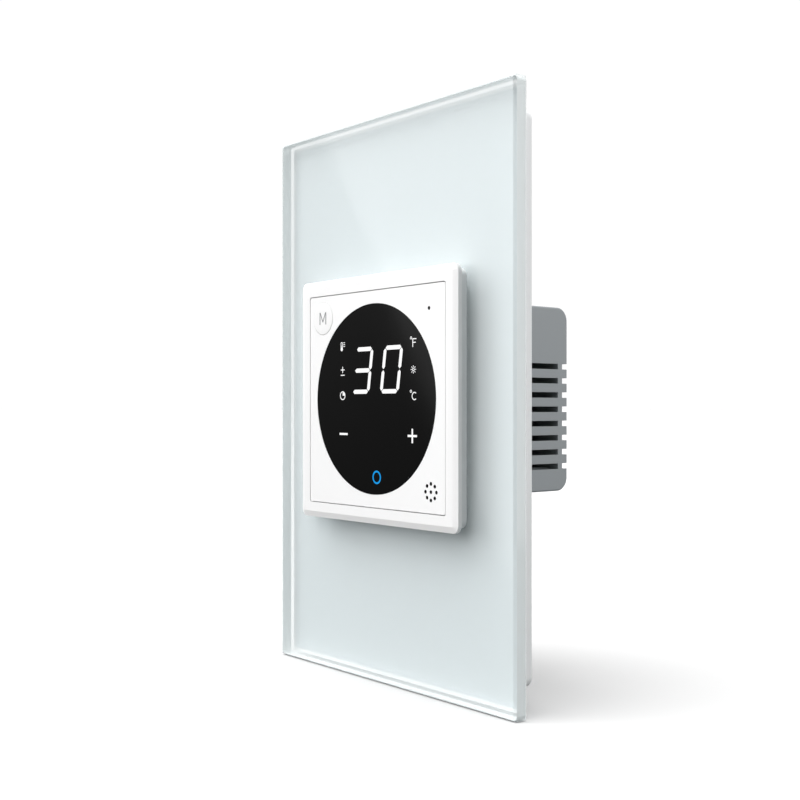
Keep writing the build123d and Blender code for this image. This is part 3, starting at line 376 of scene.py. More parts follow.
@dataclass(frozen=True)
class EdgedCoat(Moulded):
    """Colour coat with a white line along its border.

    Attributes:
        node: Node whose border is followed.
        line: Width of the white line.
        white: Colour of the line.
    """

    node: str = "colour_film"
    line: float = 0.0008
    white: Colour = (0.93, 0.94, 0.94)

    def dress(self, nodes: NodeTree, shader: bpy.types.Node) -> None:
        """Feeds the shader, with a mask from the distance to the border."""
        super().dress(nodes, shader)
        low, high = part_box(self.node)
        place = nodes.add("ShaderNodeTexCoord").outputs["Object"]
        x, _, z = nodes.add("ShaderNodeSeparateXYZ", {"Vector": place}).outputs
        masks = []
        for along, start, end in ((x, low.x, high.x), (z, low.z, high.z)):
            off = nodes.math("ABSOLUTE", nodes.math("SUBTRACT", along, (start + end) / 2))
            masks.append(nodes.math("GREATER_THAN", off, (end - start) / 2 - self.line))
        colour = nodes.add("ShaderNodeMix", data_type="RGBA")
        nodes.link(nodes.math("MAXIMUM", *masks), colour.inputs["Factor"])
        nodes.link(shader.inputs["Base Color"].links[0].from_socket, colour.inputs[6])
        colour.inputs[7].default_value = rgba(self.white)
        nodes.link(colour.outputs[2], shader.inputs["Base Color"])


@dataclass(frozen=True)
class HoleShadePlate(Moulded):
    """White plate with painted shade in its holes: below a thin white skin, the hole walls are painted near black
    where shade falls.

    Attributes:
        node: Node that the depth and the edges are counted from.
        spared: Node round which no painted shade is put.
        skin: Depth of the white surface above the painted shade.
        edge: Width of the outer edge that stays white.
        hole_shade: Painted shade colour inside the holes.
    """

    node: str = "face_plate"
    spared: str = "mode_button"
    skin: float = 0.00005
    edge: float = 0.0003
    hole_shade: Colour = (0.012, 0.012, 0.013)

    def dress(self, nodes: NodeTree, shader: bpy.types.Node) -> None:
        """Feeds the shader, with a painted-shade mask from the depth and the distance to the outer edge."""
        super().dress(nodes, shader)
        low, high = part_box(self.node)
        place = nodes.add("ShaderNodeTexCoord").outputs["Object"]
        x, y, z = nodes.add("ShaderNodeSeparateXYZ", {"Vector": place}).outputs
        # Painted shade: hole walls deeper than the skin are marked to take a near-black colour.
        mask = nodes.math("GREATER_THAN", y, low.y + self.skin)
        for along, start, end in ((x, low.x, high.x), (z, low.z, high.z)):
            off = nodes.math("ABSOLUTE", nodes.math("SUBTRACT", along, (start + end) / 2))
            inside = nodes.math("LESS_THAN", off, (end - start) / 2 - self.edge)
            mask = nodes.math("MULTIPLY", mask, inside)
        low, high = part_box(self.spared)
        right = nodes.math("GREATER_THAN", x, high.x + self.edge)
        under = nodes.math("LESS_THAN", z, low.z - self.edge)
        mask = nodes.math("MULTIPLY", mask, nodes.math("MAXIMUM", right, under))
        # Mixes the painted shade colour into the white wherever the mask is set.
        colour = nodes.add("ShaderNodeMix", data_type="RGBA")
        nodes.link(mask, colour.inputs["Factor"])
        nodes.link(shader.inputs["Base Color"].links[0].from_socket, colour.inputs[6])
        colour.inputs[7].default_value = rgba(self.hole_shade)
        nodes.link(colour.outputs[2], shader.inputs["Base Color"])


@dataclass(frozen=True)
class Board(Finish):
    """Circuit board: solder mask over a pattern of tracks.

    Attributes:
        track: Colour of the mask over copper.
    """

    track: Colour = (0.06, 0.26, 0.12)

    def dress(self, nodes: NodeTree, shader: bpy.types.Node) -> None:
        """Feeds the shader with tracks that run along X and Z."""
        place = nodes.add("ShaderNodeTexCoord").outputs["Object"]
        upright = nodes.add("ShaderNodeMapping", {"Vector": place, "Rotation": (pi / 2, 0.0, 0.0)})
        bricks = nodes.add(
            "ShaderNodeTexBrick",
            {
                "Vector": upright.outputs[0],
                "Color1": rgba(self.colour),
                "Color2": rgba(self.colour),
                "Mortar": rgba(self.track),
                "Scale": 260.0,
                "Mortar Size": 0.09,
            },
        )
        nodes.link(bricks.outputs["Color"], shader.inputs["Base Color"])
        bump = nodes.add("ShaderNodeBump", {"Distance": 0.00003, "Height": bricks.outputs["Fac"]})
        nodes.link(bump.outputs[0], shader.inputs["Normal"])
        shader.inputs["Roughness"].default_value = self.roughness
        shader.inputs["Coat Weight"].default_value = 0.4


@dataclass(frozen=True)
class Lit(Finish):
    """A lit mark behind the window, a little uneven as light through a guide is.

    Attributes:
        strength: Strength of the light.
    """

    strength: float = 1.0

    def dress(self, nodes: NodeTree, shader: bpy.types.Node) -> None:
        """Feeds the shader's emission."""
        place = nodes.add("ShaderNodeTexCoord").outputs["Object"]
        cloud = nodes.add("ShaderNodeTexNoise", {"Vector": place, "Scale": 350.0}).outputs["Fac"]
        glow = nodes.add("ShaderNodeMix", data_type="RGBA")
        nodes.link(cloud, glow.inputs["Factor"])
        glow.inputs[6].default_value = rgba(tuple(0.9 * c for c in self.colour))
        glow.inputs[7].default_value = rgba(self.colour)
        nodes.link(glow.outputs[2], shader.inputs["Emission Color"])
        shader.inputs["Base Color"].default_value = rgba((0.0, 0.0, 0.0))
        shader.inputs["Specular IOR Level"].default_value = 0.0
        shader.inputs["Emission Strength"].default_value = self.strength
        shader.inputs["Roughness"].default_value = self.roughness


GLASS = ClearGlass("clear_glass", (0.975, 0.995, 0.993), 0.0)
COLOUR_COAT = EdgedCoat("colour_coat", (0.72, 0.775, 0.79), 0.5, grains=2500.0, drift=0.01)
EDGE_GROUND = Moulded("ground_edge", (0.95, 0.98, 0.98), 0.55, grains=5000.0, relief=0.000004)
FOAM = Moulded("foam_tape", (0.75, 0.75, 0.72), 0.9, grains=2200.0, relief=0.00006, drift=0.1)
WHITE = Moulded("white_moulding", (0.80, 0.815, 0.82), 0.38, relief=0.000005)
FRONT_WHITE = Moulded("front_white", (0.90, 0.90, 0.90), 0.3, grains=6000.0, relief=0.0000015, drift=0.006)
BUTTON_WHITE = Moulded("button_white", (0.88, 0.88, 0.88), 0.34, grains=6000.0, relief=0.000002)
# Face plate white, with painted shade (near black) on the walls inside its holes.
FACE_WHITE_HOLE_SHADE = HoleShadePlate("face_white_hole_shade", (0.90, 0.90, 0.90), 0.3, grains=6000.0, relief=0.0000015, drift=0.006)
WINDOW_BLACK = BlackGloss("window_black", (0.0045, 0.0045, 0.0045), 0.08, grains=900.0, relief=0.0, drift=0.1)
GREY = Moulded("grey_moulding", (0.27, 0.295, 0.31), 0.5, grains=3200.0, relief=0.000014, drift=0.05)
BLACK = Moulded("black_moulding", (0.018, 0.018, 0.02), 0.42, relief=0.000006)
RUBBER = Moulded("soft_rubber", (0.02, 0.02, 0.02), 0.75, relief=0.00001)
REFLECTOR = Moulded("reflector_white", (0.8, 0.8, 0.8), 0.6)
MILKY = Moulded("milky_sheet", (0.82, 0.82, 0.84), 0.5)
RELAY_BLUE = Moulded("relay_blue", (0.025, 0.09, 0.30), 0.4)
FERRITE = Moulded("ferrite", (0.045, 0.045, 0.05), 0.6, relief=0.00002, drift=0.3)
COIL_TAPE = Moulded("coil_tape", (0.72, 0.50, 0.04), 0.28, grains=1200.0, relief=0.00002, drift=0.1)
SLEEVE = Moulded("shrink_sleeve", (0.015, 0.015, 0.022), 0.25, coat=0.3)
FUSE_BROWN = Moulded("fuse_brown", (0.15, 0.06, 0.025), 0.4)
EPOXY_BLUE = Moulded("epoxy_blue", (0.015, 0.09, 0.38), 0.25, relief=0.00001, coat=0.4)
EPOXY_DARK = Moulded("epoxy_dark", (0.02, 0.016, 0.012), 0.2, coat=0.5)
LAMP_CLEAR = Moulded("lamp_clear", (0.78, 0.78, 0.66), 0.2)
MARK_GREY = Moulded("mark_grey", (0.24, 0.24, 0.25), 0.5)
STEEL = Metal("plated_steel", (0.60, 0.61, 0.63), 0.24)
BRASS = Metal("brass", (0.74, 0.54, 0.24), 0.26, stain=(0.35, 0.22, 0.09))
TIN = Metal("tinned_contact", (0.68, 0.68, 0.66), 0.3)
MASK_GREEN = Board("solder_mask", (0.018, 0.12, 0.05), 0.35)
LIT_WHITE = Lit("lit_white", (1.0, 1.0, 1.0), 0.4, strength=1.1)
LIT_BLUE = Lit("lit_blue", (0.015, 0.35, 0.86), 0.4, strength=1.0)

NODE_FINISH: dict[str, Finish] = {
    "glass_panel": GLASS,
    "colour_film": COLOUR_COAT,
    "bonding_tape": FOAM,
    "panel_carrier": WHITE,
    "base_frame": WHITE,
    "front_housing": WHITE,
    "bezel": FRONT_WHITE,
    "face_plate": FACE_WHITE_HOLE_SHADE,
    "display_window": WINDOW_BLACK,
    "mode_button": BUTTON_WHITE,
    "switch_stem": BLACK,
    "tactile_switch": STEEL,
    "display_board": MASK_GREEN,
    "segment_display": REFLECTOR,
    "diffuser": MILKY,
    "touch_springs": STEEL,
    "air_sensor": EPOXY_DARK,
    "sensor_shroud": RUBBER,
    "status_light": LAMP_CLEAR,
    "pin_header": TIN,
    "board_screws": STEEL,
    "power_housing": GREY,
    "power_cover": GREY,
    "power_board": MASK_GREEN,
    "socket_header": BLACK,
    "relay": RELAY_BLUE,
    "transformer_core": FERRITE,
    "transformer_coil": COIL_TAPE,
    "capacitor": SLEEVE,
    "fuse": FUSE_BROWN,
    "varistor": EPOXY_BLUE,
    "housing_screws": STEEL,
    "terminal_block": BLACK,
    "terminal_contacts": TIN,
}


def finish_of(node: str) -> Finish:
    """The finish of a CAD node.

    Args:
        node: Name of the node.

    Returns:
        Its finish; the numbered terminal pieces share theirs.
    """
    if node.startswith("terminal_screw_"):
        return STEEL
    if node.startswith("terminal_clamp_"):
        return BRASS
    return NODE_FINISH[node]


# ------------------------------------------------------------------ mesh tools
def piece(name: str, body: str, mesh: bmesh.types.BMesh, finish: Finish) -> bpy.types.Object:
    """Turns a bmesh into a piece of the object.

    Args:
        name: Name of the piece.
        body: Body that it rides on.
        mesh: Its shape, in the frame; it is freed here.
        finish: Its finish.

    Returns:
        The piece, at the origin.
    """
    bmesh.ops.remove_doubles(mesh, verts=mesh.verts, dist=1e-7)
    bmesh.ops.recalc_face_normals(mesh, faces=mesh.faces)
    data = bpy.data.meshes.new(name)
    mesh.to_mesh(data)
    mesh.free()
    made = bpy.data.objects.new(name, data)
    bpy.context.scene.collection.objects.link(made)
    data.materials.append(finish.material())
    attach(made, body)
    LOG.info("%s rides on %s: %d faces", name, body, len(data.polygons))
    return made


class MarkPen:
    """Draws flat marks on a face that looks along -Y, and gives them a thickness."""

    def __init__(self, centre: Vector, thickness: float, lean: float = 0.0) -> None:
        """Starts an empty drawing.

        Args:
            centre: Point on the face that the drawing's x and z are counted from.
            thickness: How far the marks stand out of the face.
            lean: Angle by which upright strokes lean to the right, in radians.
        """
        self.mesh = bmesh.new()
        self.centre = centre
        self.thickness = thickness
        self.lean = lean

    def place(self, x: float, z: float) -> Vector:
        """A point of the drawing, in the frame."""
        return self.centre + Vector((x + z * sin(self.lean), 0.0, z))

    def raise_face(self, points: list[Vector]) -> None:
        """Makes a face of a few corners and extrudes it out of the surface.

        Args:
            points: The corners, in order.
        """
        face = self.mesh.faces.new([self.mesh.verts.new(point) for point in points])
        grown = bmesh.ops.extrude_face_region(self.mesh, geom=[face])
        front = [item for item in grown["geom"] if isinstance(item, bmesh.types.BMVert)]
        bmesh.ops.translate(self.mesh, verts=front, vec=Vector((0.0, -self.thickness, 0.0)))

    def stroke(self, start: tuple[float, float], end: tuple[float, float], width: float) -> None:
        """A bar with square ends.

        Args:
            start: x and z of its first end.
            end: x and z of its other end.
            width: Width of the bar.
        """
        a, b = Vector(start), Vector(end)
        side = Vector((a.y - b.y, b.x - a.x)).normalized() * width / 2
        corners = (a + side, b + side, b - side, a - side)
        self.raise_face([self.place(point.x, point.y) for point in corners])

    def segment(self, start: tuple[float, float], end: tuple[float, float], width: float) -> None:
        """A display segment: a bar with pointed ends, cut at 45 degrees."""
        a, b = Vector(start), Vector(end)
        along = (b - a).normalized() * width / 2
        side = Vector((-along.y, along.x))
        corners = (a, a + along + side, b - along + side, b, b - along - side, a + along - side)
        self.raise_face([self.place(point.x, point.y) for point in corners])

    def dot(self, x: float, z: float, radius: float, steps: int = 32) -> None:
        """A filled round mark."""
        turn = 2 * pi / steps
        rim = [(x + radius * cos(i * turn), z + radius * sin(i * turn)) for i in range(steps)]
        self.raise_face([self.place(*point) for point in rim])

    def arc(
        self,
        centre: tuple[float, float],
        radius: float,
        width: float,
        start: float = 0.0,
        sweep: float = 2 * pi,
        steps: int = 48,
    ) -> None:
        """A ring or a part of one, spun from a small bar.

        Args:
            centre: x and z of its middle.
            radius: Radius of its centre line.
            width: Width of its stroke.
            start: Angle where it starts, from +X.
            sweep: Angle that it covers, counted towards +Z.
            steps: Number of steps of the spin.
        """
        whole = abs(sweep - 2 * pi) < 1e-6
        heading = Vector((cos(start), 0.0, sin(start)))
        middle = self.place(*centre)
        out = Vector((0.0, -self.thickness, 0.0))
        inner = middle + heading * (radius - width / 2)
        outer = middle + heading * (radius + width / 2)
        face = self.mesh.faces.new([self.mesh.verts.new(p) for p in (inner, outer, outer + out, inner + out)])
        bmesh.ops.spin(
            self.mesh,
            geom=[face, *face.edges, *face.verts] if not whole else list(face.edges) + list(face.verts),
            cent=middle,
            axis=Vector((0.0, -1.0, 0.0)),
            angle=sweep,
            steps=steps,
            use_merge=whole,
        )
        if whole:
            self.mesh.faces.remove(face)


# ------------------------------------------------------------------ sub-assemblies
@dataclass
class PrintedFilm:
    """The colour film, grown a hair into the glass so that no air is left between them.

    Attributes:
        grip: How far it reaches into the glass.
    """

    grip: float = 0.01 * MM

    def build(self) -> None:
        """Gives the film's node its modifier."""
        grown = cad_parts["colour_film"].modifiers.new("grip", "DISPLACE")
        grown.strength = self.grip
        grown.mid_level = 0.0


@dataclass
class GroundEdge:
    """The matt ground edge of the glass, as a thin shell just inside its sides.

    Attributes:
        inset: Depth of the shell under the sides.
        wall: Thickness of the shell.
        arris: Width of the polished edges that it leaves free in front and behind.
        corner: Radius of its corners.
        steps: Steps of each corner.
    """

    inset: float = 0.05 * MM
    wall: float = 0.05 * MM
    arris: float = 0.55 * MM
    corner: float = 1.0 * MM
    steps: int = 6

    def outline(self, inset: float) -> list[tuple[float, float]]:
        """Corners of a rounded rectangle inside the glass's outline, as x and z."""
        low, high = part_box("glass_panel")
        radius = self.corner - inset
        points = []
        for quarter, (x, z) in enumerate(((high.x, high.z), (low.x, high.z), (low.x, low.z), (high.x, low.z))):
            x -= self.corner * (1 if x > 0 else -1)
            z -= self.corner * (1 if z > 0 else -1)
            for step in range(self.steps + 1):
                turn = (quarter + step / self.steps) * pi / 2
                points.append((x + radius * cos(turn), z + radius * sin(turn)))
        return points

    def build(self) -> None:
        """Makes the shell."""
        low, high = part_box("glass_panel")
        front, back = low.y + self.arris, high.y - self.arris
        mesh = bmesh.new()
        loops = [[mesh.verts.new((x, front, z)) for x, z in self.outline(inset)]
                 for inset in (self.inset, self.inset + self.wall)]
        count = len(loops[0])
        faces = [mesh.faces.new((loops[0][i], loops[0][(i + 1) % count], loops[1][(i + 1) % count], loops[1][i]))
                 for i in range(count)]
        grown = bmesh.ops.extrude_face_region(mesh, geom=faces)["geom"]
        rear = [item for item in grown if isinstance(item, bmesh.types.BMVert)]
        bmesh.ops.translate(mesh, verts=rear, vec=Vector((0.0, back - front, 0.0)))
        piece("ground_edge", "front_panel", mesh, EDGE_GROUND)


@dataclass
class DisplayMarks:
    """Lit digits, icons and keys on the round window.

    Attributes:
        shown: The number on the display.
        thickness: How far the marks stand out of the window.
        shift: How far the marks sit right of the window's centre.
    """

    shown: str = "30"
    thickness: float = 0.02 * MM
    shift: float = 1.3 * MM
    digit_width: float = 5.5 * MM
    digit_height: float = 9.35 * MM
    digit_pitch: float = 10.1 * MM
    digit_z: float = 6.3 * MM
    digit_stroke: float = 0.92 * MM
    digit_gap: float = 0.12 * MM
    lean: float = radians(8.8)
    column_x: float = 12.35 * MM
    row_z: tuple[float, float, float] = (11.95 * MM, 6.3 * MM, 0.8 * MM)
    right_drop: float = 0.2 * MM
    icon_stroke: float = 0.21 * MM
    key_z: float = -7.8 * MM
    key_x: float = 12.0 * MM
    key_arm: float = 1.5 * MM
    key_stroke: float = 0.46 * MM
    ring_z: float = -17.0 * MM
    ring_radius: float = 1.27 * MM
    ring_stroke: float = 0.38 * MM

    SEGMENTS = {"0": "abcdef", "1": "bc", "2": "abged", "3": "abgcd", "4": "fgbc",
                "5": "afgcd", "6": "afgedc", "7": "abc", "8": "abcdefg", "9": "abcdfg"}

    def face(self) -> Vector:
        """The point of the window's face that the marks are counted from."""
        low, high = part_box("display_window")
        return Vector(((low.x + high.x) / 2 + self.shift, low.y, (low.z + high.z) / 2))

    def pen(self, lean: float = 0.0, x: float = 0.0, z: float = 0.0) -> MarkPen:
        """A pen whose zero is at x and z on the window."""
        return MarkPen(self.face() + Vector((x, 0.0, z)), self.thickness, lean)

    def digit(self, pen: MarkPen, numeral: str, x: float) -> None:
        """Draws one seven-segment digit.

        Args:
            pen: The pen, with its lean.
            numeral: The numeral to show.
            x: Middle of the digit.
        """
        w, h, gap = self.digit_width / 2, self.digit_height / 2, self.digit_gap
        ends = {
            "a": ((x - w + gap, h), (x + w - gap, h)),
            "g": ((x - w + gap, 0.0), (x + w - gap, 0.0)),
            "d": ((x - w + gap, -h), (x + w - gap, -h)),
            "f": ((x - w, h - gap), (x - w, gap)),
            "b": ((x + w, h - gap), (x + w, gap)),
            "e": ((x - w, -gap), (x - w, -h + gap)),
            "c": ((x + w, -gap), (x + w, -h + gap)),
        }
        for name in self.SEGMENTS[numeral]:
            pen.segment(*ends[name], self.digit_stroke)

    def digits(self) -> None:
        """Makes the number."""
        pen = self.pen(lean=self.lean, z=self.digit_z)
        for i, numeral in enumerate(self.shown):
            self.digit(pen, numeral, (i - (len(self.shown) - 1) / 2) * self.digit_pitch)
        piece("digits", "display_unit", pen.mesh, LIT_WHITE)

    def thermometer(self) -> None:
        """Makes the thermometer with waves of warmth."""
        pen = self.pen(x=-self.column_x, z=self.row_z[0])
        line = self.icon_stroke
        pen.arc((-0.35 * MM, 0.55 * MM), 0.28 * MM, line * 0.8, 0.0, pi, 16)
        for side in (-1, 1):
            x = (-0.35 + side * 0.28) * MM
            pen.stroke((x, 0.55 * MM), (x, -0.45 * MM), line * 0.8)
        pen.dot(-0.35 * MM, -0.7 * MM, 0.42 * MM)
        pen.stroke((-0.35 * MM, 0.2 * MM), (-0.35 * MM, -0.6 * MM), line * 0.7)
        for i in range(3):
            z = (0.75 - i * 0.42) * MM
            pen.stroke((0.25 * MM, z), (0.85 * MM, z), line * 0.7)
        piece("icon_thermometer", "display_unit", pen.mesh, LIT_WHITE)

    def plus_minus(self) -> None:
        """Makes the plus-or-minus sign."""
        pen = self.pen(x=-self.column_x, z=self.row_z[1])
        arm, middle = 0.7 * MM, 0.3 * MM
        pen.stroke((-arm, middle), (arm, middle), self.icon_stroke)
        pen.stroke((0.0, middle + arm), (0.0, middle + self.icon_stroke / 2), self.icon_stroke)
        pen.stroke((0.0, middle - self.icon_stroke / 2), (0.0, middle - arm), self.icon_stroke)
        pen.stroke((-arm, -0.9 * MM), (arm, -0.9 * MM), self.icon_stroke)
        piece("icon_plus_minus", "display_unit", pen.mesh, LIT_WHITE)

    def clock(self) -> None:
        """Makes the timer: a ring with its first quarter filled."""
        pen = self.pen(x=-self.column_x, z=self.row_z[2])
        radius = 0.88 * MM
        pen.arc((0.0, 0.0), radius, self.icon_stroke)
        inside = radius - self.icon_stroke / 2 - 0.04 * MM
        rim = [(inside * cos(a * pi / 16), inside * sin(a * pi / 16)) for a in range(9)]
        pen.raise_face([pen.place(0.0, 0.0), *[pen.place(*point) for point in rim]])
        piece("icon_timer", "display_unit", pen.mesh, LIT_WHITE)

    def fahrenheit(self) -> None:
        """Makes the degree Fahrenheit sign."""
        pen = self.pen(x=self.column_x, z=self.row_z[0] - self.right_drop)
        line = self.icon_stroke
        pen.arc((-0.75 * MM, 0.95 * MM), 0.24 * MM, line * 0.7, steps=24)
        pen.stroke((-0.2 * MM, 0.85 * MM), (-0.2 * MM, -0.95 * MM), line)
        pen.stroke((-0.2 * MM + line / 2, 0.85 * MM - line / 2), (0.95 * MM, 0.85 * MM - line / 2), line)
        pen.stroke((-0.2 * MM + line / 2, 0.0), (0.75 * MM, 0.0), line)
        piece("sign_fahrenheit", "display_unit", pen.mesh, LIT_WHITE)

    def celsius(self) -> None:
        """Makes the degree Celsius sign."""
        pen = self.pen(x=self.column_x, z=self.row_z[2] - self.right_drop)
        pen.arc((-0.8 * MM, 0.95 * MM), 0.24 * MM, self.icon_stroke * 0.7, steps=24)
        pen.arc((0.35 * MM, -0.05 * MM), 0.76 * MM, self.icon_stroke, radians(50), radians(260), 40)
        piece("sign_celsius", "display_unit", pen.mesh, LIT_WHITE)

    def sun(self) -> None:
        """Makes the sun: a ring with eight rays."""
        pen = self.pen(x=self.column_x, z=self.row_z[1] - self.right_drop)
        pen.arc((0.0, 0.0), 0.28 * MM, self.icon_stroke * 0.7, steps=24)
        for i in range(8):
            turn = i * pi / 4
            near, far = 0.48 * MM, 0.86 * MM
            start = (near * cos(turn), near * sin(turn))
            pen.stroke(start, (far * cos(turn), far * sin(turn)), self.icon_stroke * 0.7)
        piece("icon_sun", "display_unit", pen.mesh, LIT_WHITE)

    def keys(self) -> None:
        """Makes the minus and plus keys and the blue ring."""
        pen = self.pen(z=self.key_z)
        arm, line = self.key_arm, self.key_stroke
        pen.stroke((-self.key_x - arm, 0.0), (-self.key_x + arm, 0.0), line)
        pen.stroke((self.key_x - arm, 0.0), (self.key_x + arm, 0.0), line)
        pen.stroke((self.key_x, arm), (self.key_x, line / 2), line)
        pen.stroke((self.key_x, -line / 2), (self.key_x, -arm), line)
        piece("keys_plus_minus", "display_unit", pen.mesh, LIT_WHITE)
        ring = self.pen(z=self.ring_z)
        ring.arc((0.0, 0.0), self.ring_radius, self.ring_stroke, steps=64)
        piece("key_ring", "display_unit", ring.mesh, LIT_BLUE)

    def build(self) -> None:
        """Makes every mark."""
        self.digits()
        self.thermometer()
        self.plus_minus()
        self.clock()
        self.fahrenheit()
        self.sun()
        self.celsius()
        self.keys()


class Shaper:
    """Collects closed shapes in one mesh."""

    def __init__(self) -> None:
        """Starts with nothing."""
        self.mesh = bmesh.new()

    def prism(self, outline: list[Vector], depth: Vector, bevel: float = 0.0) -> None:
        """A flat outline pulled out into a solid.

        Args:
            outline: The outline's corners, in order.
            depth: How far and which way it is pulled.
            bevel: Width of the rounding of the far edge.
        """
        face = self.mesh.faces.new([self.mesh.verts.new(point) for point in outline])
        grown = bmesh.ops.extrude_face_region(self.mesh, geom=[face])["geom"]
        bmesh.ops.translate(
            self.mesh, verts=[item for item in grown if isinstance(item, bmesh.types.BMVert)], vec=depth
        )
        if bevel:
            far = [item for item in grown if isinstance(item, bmesh.types.BMEdge)]
            bmesh.ops.bevel(
                self.mesh, geom=far, offset=bevel, segments=2, profile=0.5, affect="EDGES", material=-1
            )

    def box(self, low: Vector, high: Vector, bevel: float = 0.0) -> None:
        """A block that grows towards -Y, with its far edges rounded.

        Args:
            low: Its lowest corner.
            high: Its highest corner.
            bevel: Width of the rounding.
        """
        outline = [Vector((x, high.y, z)) for x, z in
                   ((low.x, low.z), (high.x, low.z), (high.x, high.z), (low.x, high.z))]
        self.prism(outline, Vector((0.0, low.y - high.y, 0.0)), bevel)

    def turned(self, centre: Vector, profile: list[tuple[float, float]], steps: int = 48) -> None:
        """A shape turned round an axis along Y.

        Args:
            centre: A point of the axis.
            profile: Radius and y of each corner; the first and last radius are 0.
            steps: Number of steps of the turn.
        """
        points = [self.mesh.verts.new(centre + Vector((radius, y, 0.0))) for radius, y in profile]
        edges = [self.mesh.edges.new(pair) for pair in zip(points, points[1:])]
        bmesh.ops.spin(
            self.mesh, geom=[*points, *edges], cent=centre, axis=Vector((0.0, 1.0, 0.0)),
            angle=2 * pi, steps=steps, use_merge=True,
        )


def rounded(radius: float, front: float, round_by: float, steps: int = 6) -> list[tuple[float, float]]:
    """Profile points of a disc's rounded front edge.

    Args:
        radius: Radius of the disc.
        front: Its front's y.
        round_by: Radius of the rounding.
        steps: Number of steps of the rounding.

    Returns:
        Radius and y of each point, from the front outwards.
    """
    turns = [i * pi / 2 / steps for i in range(steps + 1)]
    return [(radius - round_by + round_by * sin(a), front + round_by - round_by * cos(a)) for a in turns]


@dataclass
class ModeButton:
    """The push button, with its letter raised on the cap.

    Attributes:
        relief: How far the letter stands out of the cap.
        dish: How much lower the cap's middle is than its rim.
        width: Width of the letter.
        height: Height of the letter.
        stroke: Width of its strokes.
        rim: Rounding of the cap's edge.
        step: How much wider the flange behind the plate is than the cap, at its rim.
    """

    relief: float = 0.03 * MM
    dish: float = 0.02 * MM
    width: float = 2.3 * MM
    height: float = 2.8 * MM
    stroke: float = 0.24 * MM
    rim: float = 0.08 * MM
    step: float = 0.43 * MM

    def sizes(self) -> tuple[Vector, float, float]:
        """The middle of the cap's front, the cap's radius and where the button ends."""
        low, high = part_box("mode_button")
        stem_low, stem_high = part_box("switch_stem")
        centre = Vector(((stem_low.x + stem_high.x) / 2, low.y + self.relief, (stem_low.z + stem_high.z) / 2))
        radius = max(high.x - centre.x, centre.z - low.z) - self.step
        return centre, radius, high.y

    def cap(self) -> None:
        """Makes cap, flange and post in place of the plain button."""
        centre, radius, back = self.sizes()
        axis = Vector((centre.x, 0.0, centre.z))
        plate_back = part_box("face_plate")[1].y
        flange_front = plate_back + 0.06 * MM
        flange_back = plate_back + 0.54 * MM
        shape = Shaper()
        shape.turned(axis, [
            (0.0, centre.y + self.dish),
            (radius * 0.6, centre.y + self.dish * 0.7),
            *rounded(radius, centre.y, self.rim),
            (radius, flange_front),
            (radius + 0.08 * MM, flange_front),
            (radius + 0.08 * MM, flange_back),
            (1.4 * MM, flange_back),
            (1.4 * MM, back - 0.15 * MM),
            (1.25 * MM, back),
            (0.0, back),
        ], steps=96)
        made = piece("button_cap", "mode_button", shape.mesh, BUTTON_WHITE)
        for polygon in made.data.polygons:
            polygon.use_smooth = abs(polygon.normal.y) < 0.999
        made.data.set_sharp_from_angle(angle=radians(35))
        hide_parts("mode_button")

    def letter(self) -> None:
        """Makes the raised letter on the cap."""
        centre, _, _ = self.sizes()
        low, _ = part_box("mode_button")
        base = Vector((centre.x, centre.y + self.dish, centre.z))
        pen = MarkPen(base, base.y - low.y)
        x, z, line = self.width / 2, self.height / 2, self.stroke
        for side in (-1, 1):
            pen.stroke((side * x, -z), (side * x, z), line)
            pen.stroke((side * (x - line * 0.62), z - line * 0.3), (side * line * 0.42, -z * 0.45), line * 0.8)
        pen.stroke((0.0, -z * 0.3), (0.0, -z * 0.62), line * 0.75)
        piece("button_letter", "mode_button", pen.mesh, MARK_GREY)

    def build(self) -> None:
        """Makes the button."""
        self.cap()
        self.letter()


